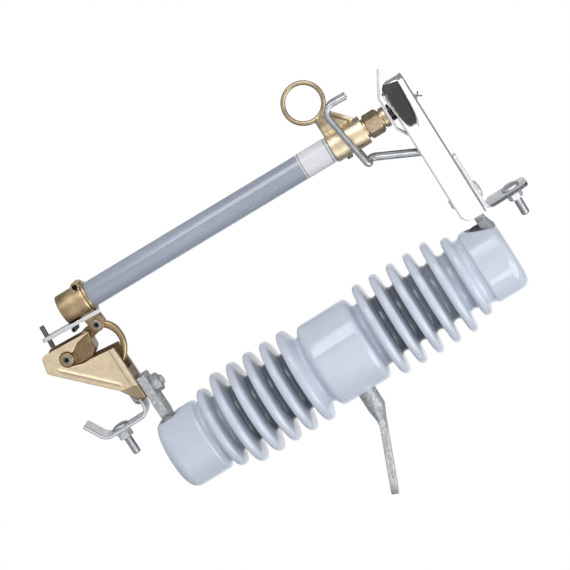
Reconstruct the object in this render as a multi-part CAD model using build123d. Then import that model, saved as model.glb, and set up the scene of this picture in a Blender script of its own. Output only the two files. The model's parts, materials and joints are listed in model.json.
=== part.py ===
"""Dropout fuse cutout: a porcelain insulator that carries a hinge casting below, a spring
contact hood above and a fuse holder that hangs between them.

Every piece is drawn in the insulator's own directions and set in service position at the end:
u runs up along the insulator's axis, f runs forward to the fuse holder, y runs across.
"""
from build123d import *
import math
import os

# Service position
LEAN_DEG = 22.5
CUT_OVERRUN = 10.0
RUNNING_GAP = 0.1
SEAT_GAP = 0.3

# Porcelain insulator
INSULATOR_LENGTH = 375.0
CORE_D = 60.0
SHED_D = 97.6
END_SHED_D = 84.0
SHED_PITCH = 18.7
SHEDS_PER_END = 6
SHED_UNDER_RUN = 6.5
SHED_TOP_RUN = 9.5
SHED_RIM = 5.4
SHED_RIM_R = 2.4
FIRST_SHED_U = 42.4
CENTRE_DRUM_D = 87.0
CENTRE_DRUM_LENGTH = 62.0
CENTRE_DRUM_EDGE_R = 13.0
END_DRUM_D = 75.0
END_DRUM_LENGTH = 39.0
END_DRUM_EDGE_R = 11.0
END_DRUM_INNER_EDGE_R = 4.0

# Cemented sockets
SOCKET_R = 13.0
SOCKET_DEPTH = 26.0
SOCKET_INSET_U = 15.0
CEMENT_RECESS = 5.0
CEMENT_MOUND_RISE = 9.0
CEMENT_MOUND_TOP_R = 7.0

# Mounting strap
STRAP_ROOT_D = 18.0
STRAP_ROOT_REACH = 24.0
STRAP_BEND_REACH = 34.0
STRAP_TAPER_LENGTH = 20.0
STRAP_FLAT_LENGTH = 50.0
STRAP_WIDTH = 36.0
STRAP_THICKNESS = 7.5
STRAP_HOLE_D = 14.0
STRAP_HOLE_MARGIN = 13.0

# Support bars
BAR_THICKNESS = 9.0
LOWER_BAR_ROOT_WIDTH = 21.0
UPPER_BAR_ROOT_WIDTH = 15.4
BAR_WIDTH = 28.0
LOWER_BAR_SHOULDER = 3.5
UPPER_BAR_SHOULDER = 9.0
LOWER_BAR_RISE = 1.0
UPPER_BAR_RISE = 5.6
LOWER_BAR_REACH = 84.0
UPPER_BAR_REACH = 76.0

# Fasteners
BOLT_D = 10.0
NUT_FLATS = 16.0
NUT_HEIGHT = 8.0
BOLT_HEAD_HEIGHT = 5.5
ROUND_HEAD_D = 17.0
ROUND_HEAD_HEIGHT = 3.4
BOLT_TAIL = 3.0
BOLT_HOLE_GAP = 0.2

# Hinge casting
CHEEK_GAP = 28.0
CHEEK_THICKNESS = 6.0
CHEEK_LENGTH = 67.0
CHEEK_DEPTH = 86.0
CHEEK_FRONT_F = 150.0
CHEEK_CORNER_R = 5.0
HINGE_FOOT_THICKNESS = 6.0
HINGE_FOOT_DEPTH = 33.0
HINGE_BOLT_F = 70.0
# Outline of a cheek as shares of its length down from the foot and of its depth back from the front edge.
CHEEK_OUTLINE_SHARES = [
    (0.145, 0.035), (0.94, 0.0), (1.0, 0.193), (0.263, 0.772), (0.128, 0.96), (0.0, 1.0), (0.0, 0.035),
]
# The slot that takes the trunnion, in the same shares, open past the foot's level.
SLOT_SHARES = [
    (-0.2, 0.334), (0.0, 0.334), (0.37, 0.302), (0.48, 0.304), (0.64, 0.262), (0.60, 0.14), (0.512, 0.132),
    (0.4, 0.076), (0.17, 0.038), (0.135, -0.05), (-0.2, -0.05),
]

# Fuse holder pivot and trunnion
PIVOT_U = -219.3
PIVOT_F = 135.2
TRUNNION_R = 6.4
TRUNNION_LENGTH = 40.2
TRUNNION_BOSS_R = 9.0
TRUNNION_BOSS_WIDTH = 27.0
TRUNNION_MID_R = 9.2
TRUNNION_MID_U = -201.5
TRUNNION_MID_F = 133.5
TRUNNION_ELBOW_R = 5.0
TRUNNION_ELBOW_U = -195.5
TRUNNION_ELBOW_F = 143.0
TOGGLE_U = -179.4
TOGGLE_F = 147.6
TOGGLE_EYE_R = 6.5
TOGGLE_EYE_WIDTH = 8.4
TOGGLE_PIN_R = 3.0
HORN_WIDTH = 6.0
HORN_EDGE_R = 2.2
HORN_APEX_U = -167.3
HORN_APEX_F = 127.0
HORN_TIP_U = -178.6
HORN_TIP_F = 103.5
SCREW_HEAD_R = 4.6
SCREW_HEAD_HEIGHT = 1.8
SCREW_SOCKET_FLATS = 4.0
SCREW_SOCKET_DEPTH = 1.2

# Fuse tube, set on an axis that leans back a little as it rises
TUBE_D = 25.4
TUBE_BORE_D = 16.0
TUBE_AXIS_F = 170.6
TUBE_LEAN_DEG = 1.28
TUBE_LOW_W = -199.5

# Lower ferrule
LOWER_FERRULE_D = 30.8
LOWER_FERRULE_LOW_W = -201.0
LOWER_FERRULE_TOP_W = -170.8
LUG_THICKNESS = 4.4
LUG_R = 7.0
LUG_ROOT_U = -182.0
LUG_ROOT_LENGTH = 16.0
CLAMP_BOSS_R = 4.6
CLAMP_BOSS_SINK = 1.4
CLAMP_BOSS_WIDTH = 21.0
CLAMP_BOSS_W = -177.0
CLAMP_SCREW_R = 2.5

# Link ejector
EJECTOR_F = 156.4
EJECTOR_TILT_DEG = 3.4
EJECTOR_THICKNESS = 3.6
EJECTOR_WIDTH = 24.0
EJECTOR_LOW_U = -231.5
EJECTOR_TOP_U = -166.0
EJECTOR_FORK_U = -203.5
EJECTOR_PIN_R = 1.0
EJECTOR_PIN_U = -179.0
FINGER_R = 2.4
FINGER_U = -227.8
FINGER_BACK_F = 148.0
FINGER_FRONT_F = 171.0
EJECTOR_SPRING_R = 4.0
EJECTOR_SPRING_WIDTH = 20.4
EJECTOR_SPRING_U = -200.0

# Upper ferrule with its pull ring
UPPER_FERRULE_D = 28.6
UPPER_FERRULE_LENGTH = 36.0
RING_D = 37.8
RING_ROD_D = 4.6
RING_RISE = 0.5
RING_F = 218.5
RING_STEM_D = 6.6
RING_STEM_RISE = 3.4
RIB_WEB_THICKNESS = 4.0
RIB_EDGE_WIDTH = 8.0
RIB_EDGE_THICKNESS = 3.5
RIB_TOP_DROP = 6.0
RIB_FRONT_DROP = 21.0
RIB_FRONT_F = 199.5
UPPER_SCREW_R = 3.0
UPPER_SCREW_REACH = 2.0
UPPER_SCREW_SEAT = 1.5
UPPER_SCREW_RISE = 11.0

# Contact cap
CAP_FLATS = 21.0
CAP_HEX_LENGTH = 17.5
CAP_COLLAR_D = 20.0
CAP_COLLAR_LENGTH = 6.4
CAP_SPIGOT_LENGTH = 4.0
CAP_SPIGOT_D = 13.0
CAP_GAP = 0.6

# Contact hood
HOOD_DEPTH = 24.1
HOOD_SHEET = 2.5
HOOD_BACK_F = 45.0
HOOD_FRONT_F = 195.0
HOOD_INNER_WIDTH = 32.0
HOOD_NOSE_R = 10.0
HOOD_BACK_CHAMFER = 12.0
HOOD_BOLT_F = 65.0

# Contact leaf, spring and guide pin
LEAF_THICKNESS = 2.0
LEAF_WIDTH = 24.0
LEAF_DROP = 30.6
LEAF_BACK_F = 52.0
LEAF_DROP_F = 121.0
LEAF_CONTACT_BACK_F = 150.0
LEAF_CONTACT_FRONT_F = 184.0
LEAF_LIP_RISE = 13.0
LEAF_LIP_REACH = 24.5
LEAF_BEND_R = 5.0
SPRING_F = 168.0
SPRING_D = 17.0
SPRING_WIRE_D = 2.6
GUIDE_PIN_R = 2.5
GUIDE_PIN_RISE = 3.0
GUIDE_HEAD_R = 4.5
GUIDE_HEAD_HEIGHT = 1.5

# Load-break hooks
HOOK_ROD_D = 5.8
HOOK_TOP_U = 175.0
HOOK_TOP_F = 116.8
HOOK_KNEE_U = 123.6
HOOK_KNEE_F = 134.2
HOOK_SPREAD = 44.0
HOOK_ARM_U = 108.0
HOOK_ARM_F = 205.0
HOOK_TIP_RISE = 25.5
HOOK_TIP_BACK = 1.5
HOOK_BEND_R = 9.0

# Terminals
TERMINAL_THICKNESS = 3.5
TERMINAL_WIDTH = 25.0
UPPER_BEND_R = 4.0
LOWER_BEND_R = 9.0
LOWER_CURL_R = 12.0
UPPER_PAD_FRONT_F = 104.0
UPPER_PAD_F = 47.5
UPPER_PAD_RISE = 46.5
UPPER_CLAMP_INSET = 16.2
LOWER_PAD_FRONT_F = 82.0
LOWER_PAD_F = 50.0
LOWER_PAD_DROP = 50.0
LOWER_CURL_DROP = 12.0
LOWER_CURL_REACH = 22.0
LOWER_CLAMP_RISE = 15.6
STUD_D = 8.0
STUD_FREE_LENGTH = 18.0
STUD_NECK_STEP = 0.2
STUD_HEAD_D = 18.0
STUD_HEAD_HEIGHT = 4.0
STUD_NUT_FLATS = 13.0
STUD_NUT_HEIGHT = 6.5
STUD_WASHER_D = 17.0
STUD_WASHER_THICKNESS = 1.6

# Sizes that follow from those above
INSULATOR_HALF = INSULATOR_LENGTH / 2
SOCKET_U = INSULATOR_HALF - SOCKET_INSET_U
SOCKET_FACE_R = END_DRUM_D / 2 - CEMENT_RECESS
SOCKET_FLOOR_R = END_DRUM_D / 2 - SOCKET_DEPTH
STRAP_SOCKET_FACE_R = CENTRE_DRUM_D / 2 - CEMENT_RECESS
STRAP_SOCKET_FLOOR_R = CENTRE_DRUM_D / 2 - SOCKET_DEPTH
LOWER_BAR_U = -SOCKET_U + LOWER_BAR_RISE
LOWER_BAR_BOTTOM_U = LOWER_BAR_U - BAR_THICKNESS / 2
LOWER_BAR_TOP_U = LOWER_BAR_U + BAR_THICKNESS / 2
UPPER_BAR_U = SOCKET_U + UPPER_BAR_RISE
UPPER_BAR_TOP_U = UPPER_BAR_U + BAR_THICKNESS / 2
HOOD_INNER_TOP_U = UPPER_BAR_TOP_U + LEAF_THICKNESS
HOOD_TOP_U = HOOD_INNER_TOP_U + HOOD_SHEET
LEAF_CONTACT_U = HOOD_TOP_U - LEAF_DROP
UPPER_PAD_TOP_U = HOOD_TOP_U + UPPER_PAD_RISE
UPPER_CLAMP_U = UPPER_PAD_TOP_U - UPPER_CLAMP_INSET
HINGE_FOOT_BOTTOM_U = LOWER_BAR_BOTTOM_U - HINGE_FOOT_THICKNESS
LOWER_CURL_U = HINGE_FOOT_BOTTOM_U - LOWER_PAD_DROP
LOWER_CLAMP_U = LOWER_CURL_U + LOWER_CLAMP_RISE
HINGE_INNER = CHEEK_GAP / 2
HINGE_OUTER = HINGE_INNER + CHEEK_THICKNESS
LUG_INNER = TOGGLE_EYE_WIDTH / 2 + SEAT_GAP
LUG_OUTER = LUG_INNER + LUG_THICKNESS
UPPER_FERRULE_TOP_W = LEAF_CONTACT_U - CAP_GAP - CAP_COLLAR_LENGTH - CAP_HEX_LENGTH
UPPER_FERRULE_LOW_W = UPPER_FERRULE_TOP_W - UPPER_FERRULE_LENGTH
TUBE_TOP_W = UPPER_FERRULE_TOP_W - CAP_SPIGOT_LENGTH - SEAT_GAP
UPPER_SCREW_W = UPPER_FERRULE_LOW_W + UPPER_SCREW_RISE
RING_U = UPPER_FERRULE_LOW_W + RING_RISE
RING_STEM_U = UPPER_FERRULE_LOW_W + RING_STEM_RISE
RIB_TOP_U = UPPER_FERRULE_TOP_W - RIB_TOP_DROP
RIB_FRONT_U = UPPER_FERRULE_TOP_W - RIB_FRONT_DROP
HOOK_INNER_Y = HOOD_INNER_WIDTH / 2 - HOOK_ROD_D / 2 - SEAT_GAP


def rod_u(radius, low_u, high_u, f):
    """A round bar along the insulator's direction."""
    return Pos(-f, 0, (low_u + high_u) / 2) * Cylinder(radius, high_u - low_u)


def rod_f(radius, back_f, front_f, u):
    """A round bar that runs forward."""
    return Pos(-(back_f + front_f) / 2, 0, u) * Rot(0, 90, 0) * Cylinder(radius, front_f - back_f)


def rod_y(radius, width, u, f):
    """A round bar across the part, centred on its middle plane."""
    return Pos(-f, 0, u) * Rot(90, 0, 0) * Cylinder(radius, width)


def side_plate(points, width, corner_radius=0.0, corners=()):
    """A plate across the middle plane with an outline of (u, f) points, some corners rounded."""
    face = make_face(Polyline(*[(-f, u) for u, f in points], close=True))
    if corner_radius:
        rounded = [face.vertices().sort_by_distance((-f, u, 0))[0] for u, f in corners]
        face = fillet(rounded, corner_radius)
    return extrude(Plane.XZ * face, amount=width / 2, both=True)


def link_plate(first, first_r, second, second_r, width):
    """A plate with two round ends joined by straight sides, between two (u, f) centres."""
    run = math.dist(first, second)
    swing = math.acos((first_r - second_r) / run)
    heading = math.atan2(second[1] - first[1], second[0] - first[0])
    corners = []
    for centre, radius, side in (
        (first, first_r, 1), (second, second_r, 1), (second, second_r, -1), (first, first_r, -1),
    ):
        angle = heading + side * swing
        corners.append((centre[0] + radius * math.cos(angle), centre[1] + radius * math.sin(angle)))
    ends = rod_y(first_r, width, *first) + rod_y(second_r, width, *second)
    return side_plate(corners, width) + ends


def bent_strip(points, thickness, width, bend_radius):
    """A flat strip bent along (u, f) points, its width across the part."""
    path = FilletPolyline(*[(-f, 0, u) for u, f in points], radius=bend_radius)
    start = Plane(origin=path @ 0, x_dir=(0, 1, 0), z_dir=path % 0)
    return sweep(start * Rectangle(width, thickness), path=path)


def on_tube_axis(shape):
    """Set a piece that was drawn about the vertical on the fuse tube's own axis."""
    return Pos(-TUBE_AXIS_F, 0, 0) * Rot(0, TUBE_LEAN_DEG, 0) * shape


def tube_axis_f(w):
    """How far forward the tube's axis lies at a length w along it."""
    return TUBE_AXIS_F - w * math.sin(math.radians(TUBE_LEAN_DEG))


def collar(outer_r, inner_r, low_w, high_w):
    """A sleeve on the fuse tube's axis."""
    height = high_w - low_w
    sleeve = Cylinder(outer_r, height) - Cylinder(inner_r, height)
    return on_tube_axis(Pos(0, 0, (low_w + high_w) / 2) * sleeve)


def tube_core(radius, low_w, high_w):
    """A solid bar on the fuse tube's axis."""
    return on_tube_axis(Pos(0, 0, (low_w + high_w) / 2) * Cylinder(radius, high_w - low_w))


def hexagon_u(flats, low_u, high_u, f):
    """A hexagonal prism along the insulator's direction."""
    prism = extrude(RegularPolygon(flats / 2, 6, major_radius=False), high_u - low_u)
    return Pos(-f, 0, low_u) * prism


def insulator_shed(u, diameter):
    """One shed: a disc whose lower side is steeper than its upper side, with a round rim."""
    inner_r = CORE_D / 2
    outer_r = diameter / 2
    outline = Polyline(
        (inner_r, u - SHED_UNDER_RUN), (outer_r, u - SHED_RIM / 2), (outer_r, u + SHED_RIM / 2),
        (inner_r, u + SHED_TOP_RUN), close=True,
    )
    face = make_face(outline)
    face = fillet(face.vertices().sort_by(Axis.X)[-2:], SHED_RIM_R)
    return revolve(Plane.XZ * face, Axis.Z)


def drum(diameter, low_u, high_u, low_edge_r, high_edge_r):
    """A thick drum of the insulator, each of its edges rounded by its own radius."""
    body = Cylinder(diameter / 2, high_u - low_u)
    low_edge = body.edges().filter_by(GeomType.CIRCLE).sort_by(Axis.Z)[0]
    body = fillet(low_edge, low_edge_r)
    high_edge = body.edges().filter_by(GeomType.CIRCLE).sort_by(Axis.Z)[-1]
    return Pos(0, 0, (low_u + high_u) / 2) * fillet(high_edge, high_edge_r)


def make_insulator_body():
    """Core, sheds and drums, with a socket in each drum."""
    inner_u = INSULATOR_HALF - END_DRUM_LENGTH
    body = Cylinder(CORE_D / 2, INSULATOR_LENGTH - END_DRUM_LENGTH)
    body += drum(END_DRUM_D, -INSULATOR_HALF, -inner_u, END_DRUM_EDGE_R, END_DRUM_INNER_EDGE_R)
    body += drum(END_DRUM_D, inner_u, INSULATOR_HALF, END_DRUM_INNER_EDGE_R, END_DRUM_EDGE_R)
    for end in (-1, 1):
        for count in range(SHEDS_PER_END):
            size = END_SHED_D if count == SHEDS_PER_END - 1 else SHED_D
            body += insulator_shed(end * (FIRST_SHED_U + count * SHED_PITCH), size)
        body -= rod_f(SOCKET_R, SOCKET_FLOOR_R, END_DRUM_D / 2 + CUT_OVERRUN, end * SOCKET_U)
    half = CENTRE_DRUM_LENGTH / 2
    body += drum(CENTRE_DRUM_D, -half, half, CENTRE_DRUM_EDGE_R, CENTRE_DRUM_EDGE_R)
    return body - rod_f(SOCKET_R, -CENTRE_DRUM_D / 2 - CUT_OVERRUN, -STRAP_SOCKET_FLOOR_R, 0)


def make_support_bar(u, root_width, shoulder, reach, bolt_f):
    """A flat bar with a narrower root in its socket, a shoulder and a bolt hole."""
    half_root = root_width / 2
    half_width = BAR_WIDTH / 2
    shoulder_f = END_DRUM_D / 2 + shoulder
    outline = Polyline(
        (-SOCKET_FLOOR_R, half_root), (-END_DRUM_D / 2, half_root), (-shoulder_f, half_width),
        (-reach, half_width), (-reach, -half_width), (-shoulder_f, -half_width),
        (-END_DRUM_D / 2, -half_root), (-SOCKET_FLOOR_R, -half_root), close=True,
    )
    bar = Pos(0, 0, u) * extrude(make_face(outline), amount=BAR_THICKNESS / 2, both=True)
    hole_r = BOLT_D / 2 + BOLT_HOLE_GAP
    return bar - rod_u(hole_r, u - BAR_THICKNESS, u + BAR_THICKNESS, bolt_f)


def make_lower_bar():
    """The bar that carries the hinge casting."""
    root = LOWER_BAR_ROOT_WIDTH
    return make_support_bar(LOWER_BAR_U, root, LOWER_BAR_SHOULDER, LOWER_BAR_REACH, HINGE_BOLT_F)


def make_upper_bar():
    """The bar that carries the contact hood."""
    root = UPPER_BAR_ROOT_WIDTH
    return make_support_bar(UPPER_BAR_U, root, UPPER_BAR_SHOULDER, UPPER_BAR_REACH, HOOD_BOLT_F)


def make_lower_socket_cement():
    """The cement that fills the lower end socket round its bar."""
    return rod_f(SOCKET_R - RUNNING_GAP, SOCKET_FLOOR_R, SOCKET_FACE_R, -SOCKET_U) - make_lower_bar()


def make_upper_socket_cement():
    """The cement of the upper end socket, heaped up round its bar."""
    base_r = SOCKET_R - RUNNING_GAP
    heap = Cone(base_r, CEMENT_MOUND_TOP_R, CEMENT_MOUND_RISE)
    heap = Pos(-SOCKET_FACE_R - CEMENT_MOUND_RISE / 2, 0, SOCKET_U) * Rot(0, -90, 0) * heap
    return rod_f(base_r, SOCKET_FLOOR_R, SOCKET_FACE_R, SOCKET_U) + heap - make_upper_bar()


def strap_bend_f():
    """Where the strap's centre line turns down from the socket's axis."""
    return -(CENTRE_DRUM_D / 2 + STRAP_BEND_REACH)


def along_strap(run):
    """A place on the strap's centre line, at a run past its bend."""
    angle = math.radians(LEAN_DEG)
    return Vector(-strap_bend_f() + run * math.cos(angle), 0, -run * math.sin(angle))


def strap_plane(run):
    """A plane across the strap, at a run past its bend."""
    angle = math.radians(LEAN_DEG)
    return Plane(origin=along_strap(run), x_dir=(0, 1, 0), z_dir=(math.cos(angle), 0, -math.sin(angle)))


def strap_hole():
    """The bolt hole's centre on the strap's under face."""
    angle = math.radians(LEAN_DEG)
    under = Vector(-math.sin(angle), 0, -math.cos(angle)) * (STRAP_THICKNESS / 2)
    return along_strap(STRAP_TAPER_LENGTH + STRAP_FLAT_LENGTH - STRAP_HOLE_MARGIN) + under


def make_mounting_strap():
    """A round root that flattens into a strap with a rounded end and one hole."""
    root_end_f = -(CENTRE_DRUM_D / 2 + STRAP_ROOT_REACH)
    root = rod_f(STRAP_ROOT_D / 2, root_end_f, -STRAP_SOCKET_FLOOR_R, 0)
    root_plane = Plane(origin=(-root_end_f, 0, 0), x_dir=(0, 1, 0), z_dir=(1, 0, 0))
    section = Rectangle(STRAP_WIDTH, STRAP_THICKNESS)
    flat_plane = strap_plane(STRAP_TAPER_LENGTH)
    taper = loft([root_plane * Circle(STRAP_ROOT_D / 2), flat_plane * section])
    flat = extrude(flat_plane * section, STRAP_FLAT_LENGTH)
    edges = flat.edges().filter_by(lambda edge: abs(edge.length - STRAP_THICKNESS) < RUNNING_GAP)
    far_end = along_strap(STRAP_TAPER_LENGTH + STRAP_FLAT_LENGTH)
    flat = fillet(edges.sort_by_distance(far_end)[:2], STRAP_WIDTH / 3)
    across = strap_plane(0)
    hole = Plane(origin=strap_hole(), x_dir=(0, 1, 0), z_dir=across.x_dir.cross(across.z_dir))
    bore = hole * Cylinder(STRAP_HOLE_D / 2, 2 * STRAP_THICKNESS + CUT_OVERRUN)
    return root + taper + flat - bore


def make_strap_socket_cement():
    """The cement ring round the strap's root."""
    fill = rod_f(SOCKET_R - RUNNING_GAP, -STRAP_SOCKET_FACE_R, -STRAP_SOCKET_FLOOR_R, 0)
    return fill - rod_f(STRAP_ROOT_D / 2 + RUNNING_GAP, -STRAP_SOCKET_FACE_R, -STRAP_SOCKET_FLOOR_R, 0)


def cheek_point(share):
    """A (u, f) point of the hinge casting's side from its shares of length and depth."""
    return LOWER_BAR_BOTTOM_U - share[0] * CHEEK_LENGTH, CHEEK_FRONT_F - share[1] * CHEEK_DEPTH


def make_hinge_casting():
    """Two slotted cheeks, joined by a foot under the support bar and a back web."""
    outline = [cheek_point(share) for share in CHEEK_OUTLINE_SHARES]
    cheek = side_plate(outline, 2 * HINGE_OUTER, CHEEK_CORNER_R, outline[1:3])
    inside = Box(4 * CHEEK_DEPTH, CHEEK_GAP, 4 * CHEEK_LENGTH)
    cheeks = cheek - Pos(-CHEEK_FRONT_F, 0, PIVOT_U) * inside
    foot_back_f = CHEEK_FRONT_F - CHEEK_DEPTH
    foot_front_f = foot_back_f + HINGE_FOOT_DEPTH
    foot_u = (HINGE_FOOT_BOTTOM_U + LOWER_BAR_BOTTOM_U) / 2
    foot = Pos(-(foot_back_f + foot_front_f) / 2, 0, foot_u)
    foot = foot * Box(HINGE_FOOT_DEPTH, CHEEK_GAP, HINGE_FOOT_THICKNESS)
    slot = side_plate([cheek_point(share) for share in SLOT_SHARES], 4 * HINGE_OUTER)
    seat = rod_y(TRUNNION_R + RUNNING_GAP, 4 * HINGE_OUTER, PIVOT_U, PIVOT_F)
    hole = rod_u(BOLT_D / 2 + BOLT_HOLE_GAP, HINGE_FOOT_BOTTOM_U - CUT_OVERRUN, 0, HINGE_BOLT_F)
    return cheeks + foot - slot - seat - hole


def make_hinge_bolt(head_u, tail_u):
    """The hexagon-headed bolt up through the lower terminal, the hinge's foot and the bar."""
    head = hexagon_u(NUT_FLATS, head_u - BOLT_HEAD_HEIGHT, head_u, HINGE_BOLT_F)
    return rod_u(BOLT_D / 2, head_u, tail_u, HINGE_BOLT_F) + head


def round_head(diameter, height):
    """A low dome that stands on the ground plane."""
    sphere_r = (diameter ** 2 / 4 + height ** 2) / (2 * height)
    return Pos(0, 0, height - sphere_r) * Sphere(sphere_r) & extrude(Circle(diameter), height + RUNNING_GAP)


def make_hood_bolt(head_u, tail_u):
    """The round-headed bolt through the upper terminal, the hood, the leaf and the bar."""
    return rod_u(BOLT_D / 2, tail_u, head_u, HOOD_BOLT_F) + Pos(-HOOD_BOLT_F, 0, head_u) * round_head(
        ROUND_HEAD_D, ROUND_HEAD_HEIGHT)


def nut_u(low_u, f):
    """A nut on a bolt along u."""
    blank = hexagon_u(NUT_FLATS, low_u, low_u + NUT_HEIGHT, f)
    return blank - rod_u(BOLT_D / 2 + RUNNING_GAP, low_u, low_u + NUT_HEIGHT, f)


def make_lower_terminal():
    """A strip under the hinge's foot that turns down and curls forward at its end."""
    top_u = HINGE_FOOT_BOTTOM_U - TERMINAL_THICKNESS / 2
    route = [
        (top_u, LOWER_PAD_FRONT_F), (top_u, LOWER_PAD_F), (LOWER_CURL_U, LOWER_PAD_F),
        (LOWER_CURL_U - LOWER_CURL_DROP, LOWER_PAD_F + LOWER_CURL_REACH),
    ]
    strip = bent_strip(route, TERMINAL_THICKNESS, TERMINAL_WIDTH, [LOWER_BEND_R, LOWER_CURL_R])
    strip -= rod_u(BOLT_D / 2 + BOLT_HOLE_GAP, top_u - CUT_OVERRUN, top_u + CUT_OVERRUN, HINGE_BOLT_F)
    return strip - stud_hole(LOWER_CLAMP_U, LOWER_PAD_F)


def make_upper_terminal():
    """A strip on the hood's web that turns up into a clamp pad."""
    low_u = HOOD_TOP_U + TERMINAL_THICKNESS / 2
    route = [(low_u, UPPER_PAD_FRONT_F), (low_u, UPPER_PAD_F), (UPPER_PAD_TOP_U, UPPER_PAD_F)]
    strip = bent_strip(route, TERMINAL_THICKNESS, TERMINAL_WIDTH, UPPER_BEND_R)
    strip -= rod_u(BOLT_D / 2 + BOLT_HOLE_GAP, low_u - CUT_OVERRUN, low_u + CUT_OVERRUN, HOOD_BOLT_F)
    return strip - stud_hole(UPPER_CLAMP_U, UPPER_PAD_F)


def stud_hole(u, pad_f):
    """The hole for a clamp stud in a terminal's pad."""
    return rod_f(STUD_D / 2 + BOLT_HOLE_GAP, pad_f - CUT_OVERRUN, pad_f + CUT_OVERRUN, u)


def make_terminal_bolt(u, pad_f):
    """A round-headed clamp bolt whose stud points back from the pad."""
    face_f = pad_f + TERMINAL_THICKNESS / 2
    dome = Pos(-face_f, 0, u) * Rot(0, -90, 0) * round_head(STUD_HEAD_D, STUD_HEAD_HEIGHT)
    nut_back_f = pad_f - TERMINAL_THICKNESS / 2 - STUD_WASHER_THICKNESS - STUD_NUT_HEIGHT
    neck = rod_f(STUD_D / 2 - STUD_NECK_STEP, nut_back_f, face_f, u)
    return dome + neck + rod_f(STUD_D / 2, nut_back_f - STUD_FREE_LENGTH, nut_back_f, u)


def make_terminal_washer(u, pad_f):
    """A flat washer behind the pad."""
    back_f = pad_f - TERMINAL_THICKNESS / 2
    plate = rod_f(STUD_WASHER_D / 2, back_f - STUD_WASHER_THICKNESS, back_f, u)
    return plate - rod_f(STUD_D / 2, back_f - STUD_WASHER_THICKNESS, back_f, u)


def make_terminal_nut(u, pad_f):
    """The clamp nut behind the washer."""
    front_f = pad_f - TERMINAL_THICKNESS / 2 - STUD_WASHER_THICKNESS
    prism = extrude(RegularPolygon(STUD_NUT_FLATS / 2, 6, major_radius=False), STUD_NUT_HEIGHT)
    prism -= extrude(Circle(STUD_D / 2 - RUNNING_GAP), STUD_NUT_HEIGHT)
    return Pos(-front_f, 0, u) * Rot(0, 90, 0) * prism


def make_contact_hood():
    """A channel that opens downward, with a closed nose, rounded below, and a chamfered back corner."""
    low_u = HOOD_TOP_U - HOOD_DEPTH
    outline = [
        (HOOD_TOP_U, HOOD_BACK_F), (HOOD_TOP_U, HOOD_FRONT_F), (low_u, HOOD_FRONT_F),
        (low_u, HOOD_BACK_F + HOOD_BACK_CHAMFER), (low_u + HOOD_BACK_CHAMFER, HOOD_BACK_F),
    ]
    outer_width = HOOD_INNER_WIDTH + 2 * HOOD_SHEET
    block = side_plate(outline, outer_width, HOOD_NOSE_R, outline[2:3])
    inner = [
        (HOOD_INNER_TOP_U, HOOD_BACK_F - CUT_OVERRUN), (HOOD_INNER_TOP_U, HOOD_FRONT_F - HOOD_SHEET),
        (low_u - CUT_OVERRUN, HOOD_FRONT_F - HOOD_SHEET), (low_u - CUT_OVERRUN, HOOD_BACK_F - CUT_OVERRUN),
    ]
    shell = block - side_plate(inner, HOOD_INNER_WIDTH)
    cut_low, cut_high = HOOD_INNER_TOP_U - HOOD_SHEET, HOOD_TOP_U + HOOD_SHEET
    shell -= rod_u(BOLT_D / 2 + BOLT_HOLE_GAP, cut_low, cut_high, HOOD_BOLT_F)
    return shell - rod_u(GUIDE_PIN_R + RUNNING_GAP, cut_low, cut_high, SPRING_F)


def make_contact_leaf():
    """A strip clamped under the hood's web that drops to the contact flat and ends in a raised lip."""
    web_u = HOOD_INNER_TOP_U - LEAF_THICKNESS / 2
    flat_u = LEAF_CONTACT_U + LEAF_THICKNESS / 2
    route = [
        (web_u, LEAF_BACK_F), (web_u, LEAF_DROP_F), (flat_u, LEAF_CONTACT_BACK_F),
        (flat_u, LEAF_CONTACT_FRONT_F),
        (flat_u + LEAF_LIP_RISE, LEAF_CONTACT_FRONT_F + LEAF_LIP_REACH),
    ]
    strip = bent_strip(route, LEAF_THICKNESS, LEAF_WIDTH, LEAF_BEND_R)
    strip -= rod_u(BOLT_D / 2 + BOLT_HOLE_GAP, web_u - CUT_OVERRUN, web_u + CUT_OVERRUN, HOOD_BOLT_F)
    pin_hole = rod_u(GUIDE_PIN_R + RUNNING_GAP, flat_u - LEAF_THICKNESS, flat_u + LEAF_THICKNESS, SPRING_F)
    return strip - pin_hole


def make_contact_spring():
    """The coil between the leaf and the hood's web."""
    low_u = LEAF_CONTACT_U + LEAF_THICKNESS
    sleeve = rod_u(SPRING_D / 2, low_u, HOOD_INNER_TOP_U, SPRING_F)
    return sleeve - rod_u(SPRING_D / 2 - SPRING_WIRE_D, low_u, HOOD_INNER_TOP_U, SPRING_F)


def make_spring_guide_pin():
    """The pin through the leaf, the coil and the hood's web, with a flat head on top."""
    low_u = LEAF_CONTACT_U + SEAT_GAP
    pin = rod_u(GUIDE_PIN_R, low_u, HOOD_TOP_U + GUIDE_PIN_RISE, SPRING_F)
    return pin + rod_u(GUIDE_HEAD_R, HOOD_TOP_U, HOOD_TOP_U + GUIDE_HEAD_HEIGHT, SPRING_F)


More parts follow.
